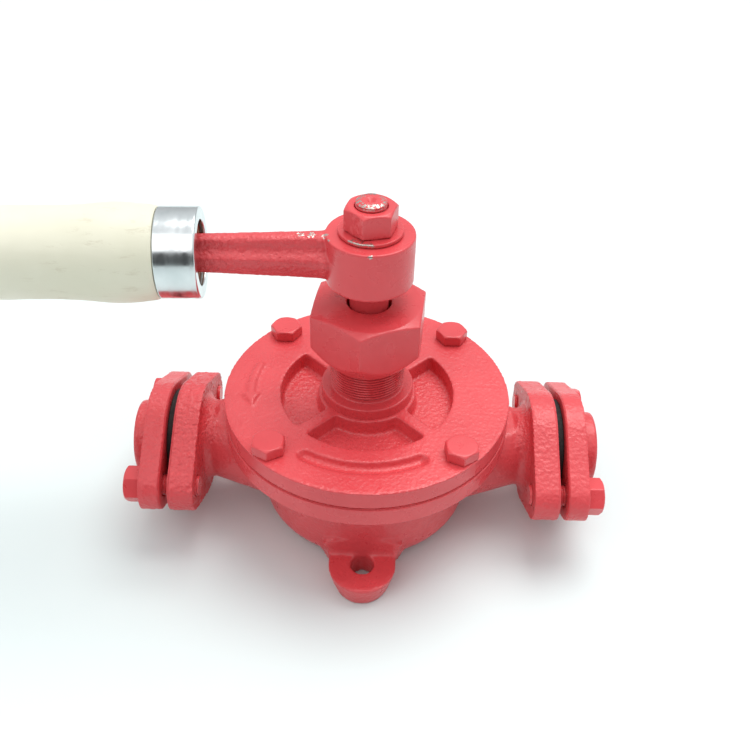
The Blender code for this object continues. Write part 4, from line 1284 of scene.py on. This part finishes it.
def inner_nodes():
    """The works inside keep their CAD shapes and get finished materials."""
    finishes = {"steel": steel, "brass": brass, "packing": packing, "gasket": gasket}
    for part in frame["record"]["subparts"]:
        node = frame["nodes"][part["node"]]
        if node.hide_render:
            continue
        node.data.materials.clear()
        node.data.materials.append(finishes[part["material_slot"]])


# Studio ----------------------------------------------------------------------------------------


def studio():
    """The pale floor, and a dark card in front that only shows in reflections."""
    made = Finish("floor")
    colour = made.mix(made.noise(1.5, 2.0), *FLOOR_COLOURS)
    floor = placed("floor", block(*FLOOR_BOX))
    floor.data.materials.append(made.link(colour=colour, roughness=0.55))
    made = Finish("dark_card")
    colour = made.mix(made.noise(3.0, 2.0), *CARD_COLOURS)
    card = placed("dark_card", block(*CARD_BOX))
    card.data.materials.append(made.link(colour=colour, roughness=0.9))
    card.visible_camera = False
    card.visible_shadow = False


def sky():
    """A world that brightens from the horizon to overhead."""
    world = bpy.data.worlds.new("studio")
    world.use_nodes = True
    tree = world.node_tree
    background = tree.nodes["Background"]
    background.inputs["Color"].default_value = SKY_COLOUR
    direction = tree.nodes.new("ShaderNodeTexCoord").outputs["Generated"]
    split = tree.nodes.new("ShaderNodeSeparateXYZ")
    tree.links.new(direction, split.inputs[0])
    height = tree.nodes.new("ShaderNodeMapRange")
    limits = {"From Min": 0.0, "From Max": 0.8, "To Min": SKY_AT_HORIZON, "To Max": SKY_OVERHEAD}
    for name, value in limits.items():
        height.inputs[name].default_value = value
    tree.links.new(split.outputs["Z"], height.inputs["Value"])
    tree.links.new(height.outputs[0], background.inputs["Strength"])
    bpy.context.scene.world = world


def lights():
    for name, energy, spread, direction in SOFTBOXES:
        lamp = bpy.data.lights.new(name, "SUN")
        lamp.energy = energy
        lamp.angle = math.radians(spread)
        lamp.color = LIGHT_COLOUR
        light = placed(name, lamp)
        light.matrix_world = Vector(direction).to_track_quat("Z", "Y").to_matrix().to_4x4()
    bpy.context.scene.view_settings.view_transform = "Standard"


def camera():
    data = bpy.data.cameras.new("camera")
    data.lens = LENS
    data.sensor_width = SENSOR
    data.clip_start = 0.01
    item = placed("camera", data)
    yaw = Matrix.Rotation(CAMERA_YAW, 4, "Z")
    tilt = Matrix.Rotation(math.pi / 2 - CAMERA_PITCH, 4, "X")
    roll = Matrix.Rotation(CAMERA_ROLL, 4, "Z")
    item.matrix_world = Matrix.Translation(CAMERA_PLACE) @ yaw @ tilt @ roll
    bpy.context.scene.camera = item


camera()
casing()
cover()
cover_seal()
for port_name, port_side in SIDES.items():
    body_flange(port_name, port_side)
    companion(port_name, port_side)
bolts()
gland_nut()
shaft()
lever()
lever_washer()
lever_nut()
ferrule()
handle()
inner_nodes()
studio()
sky()
lights()
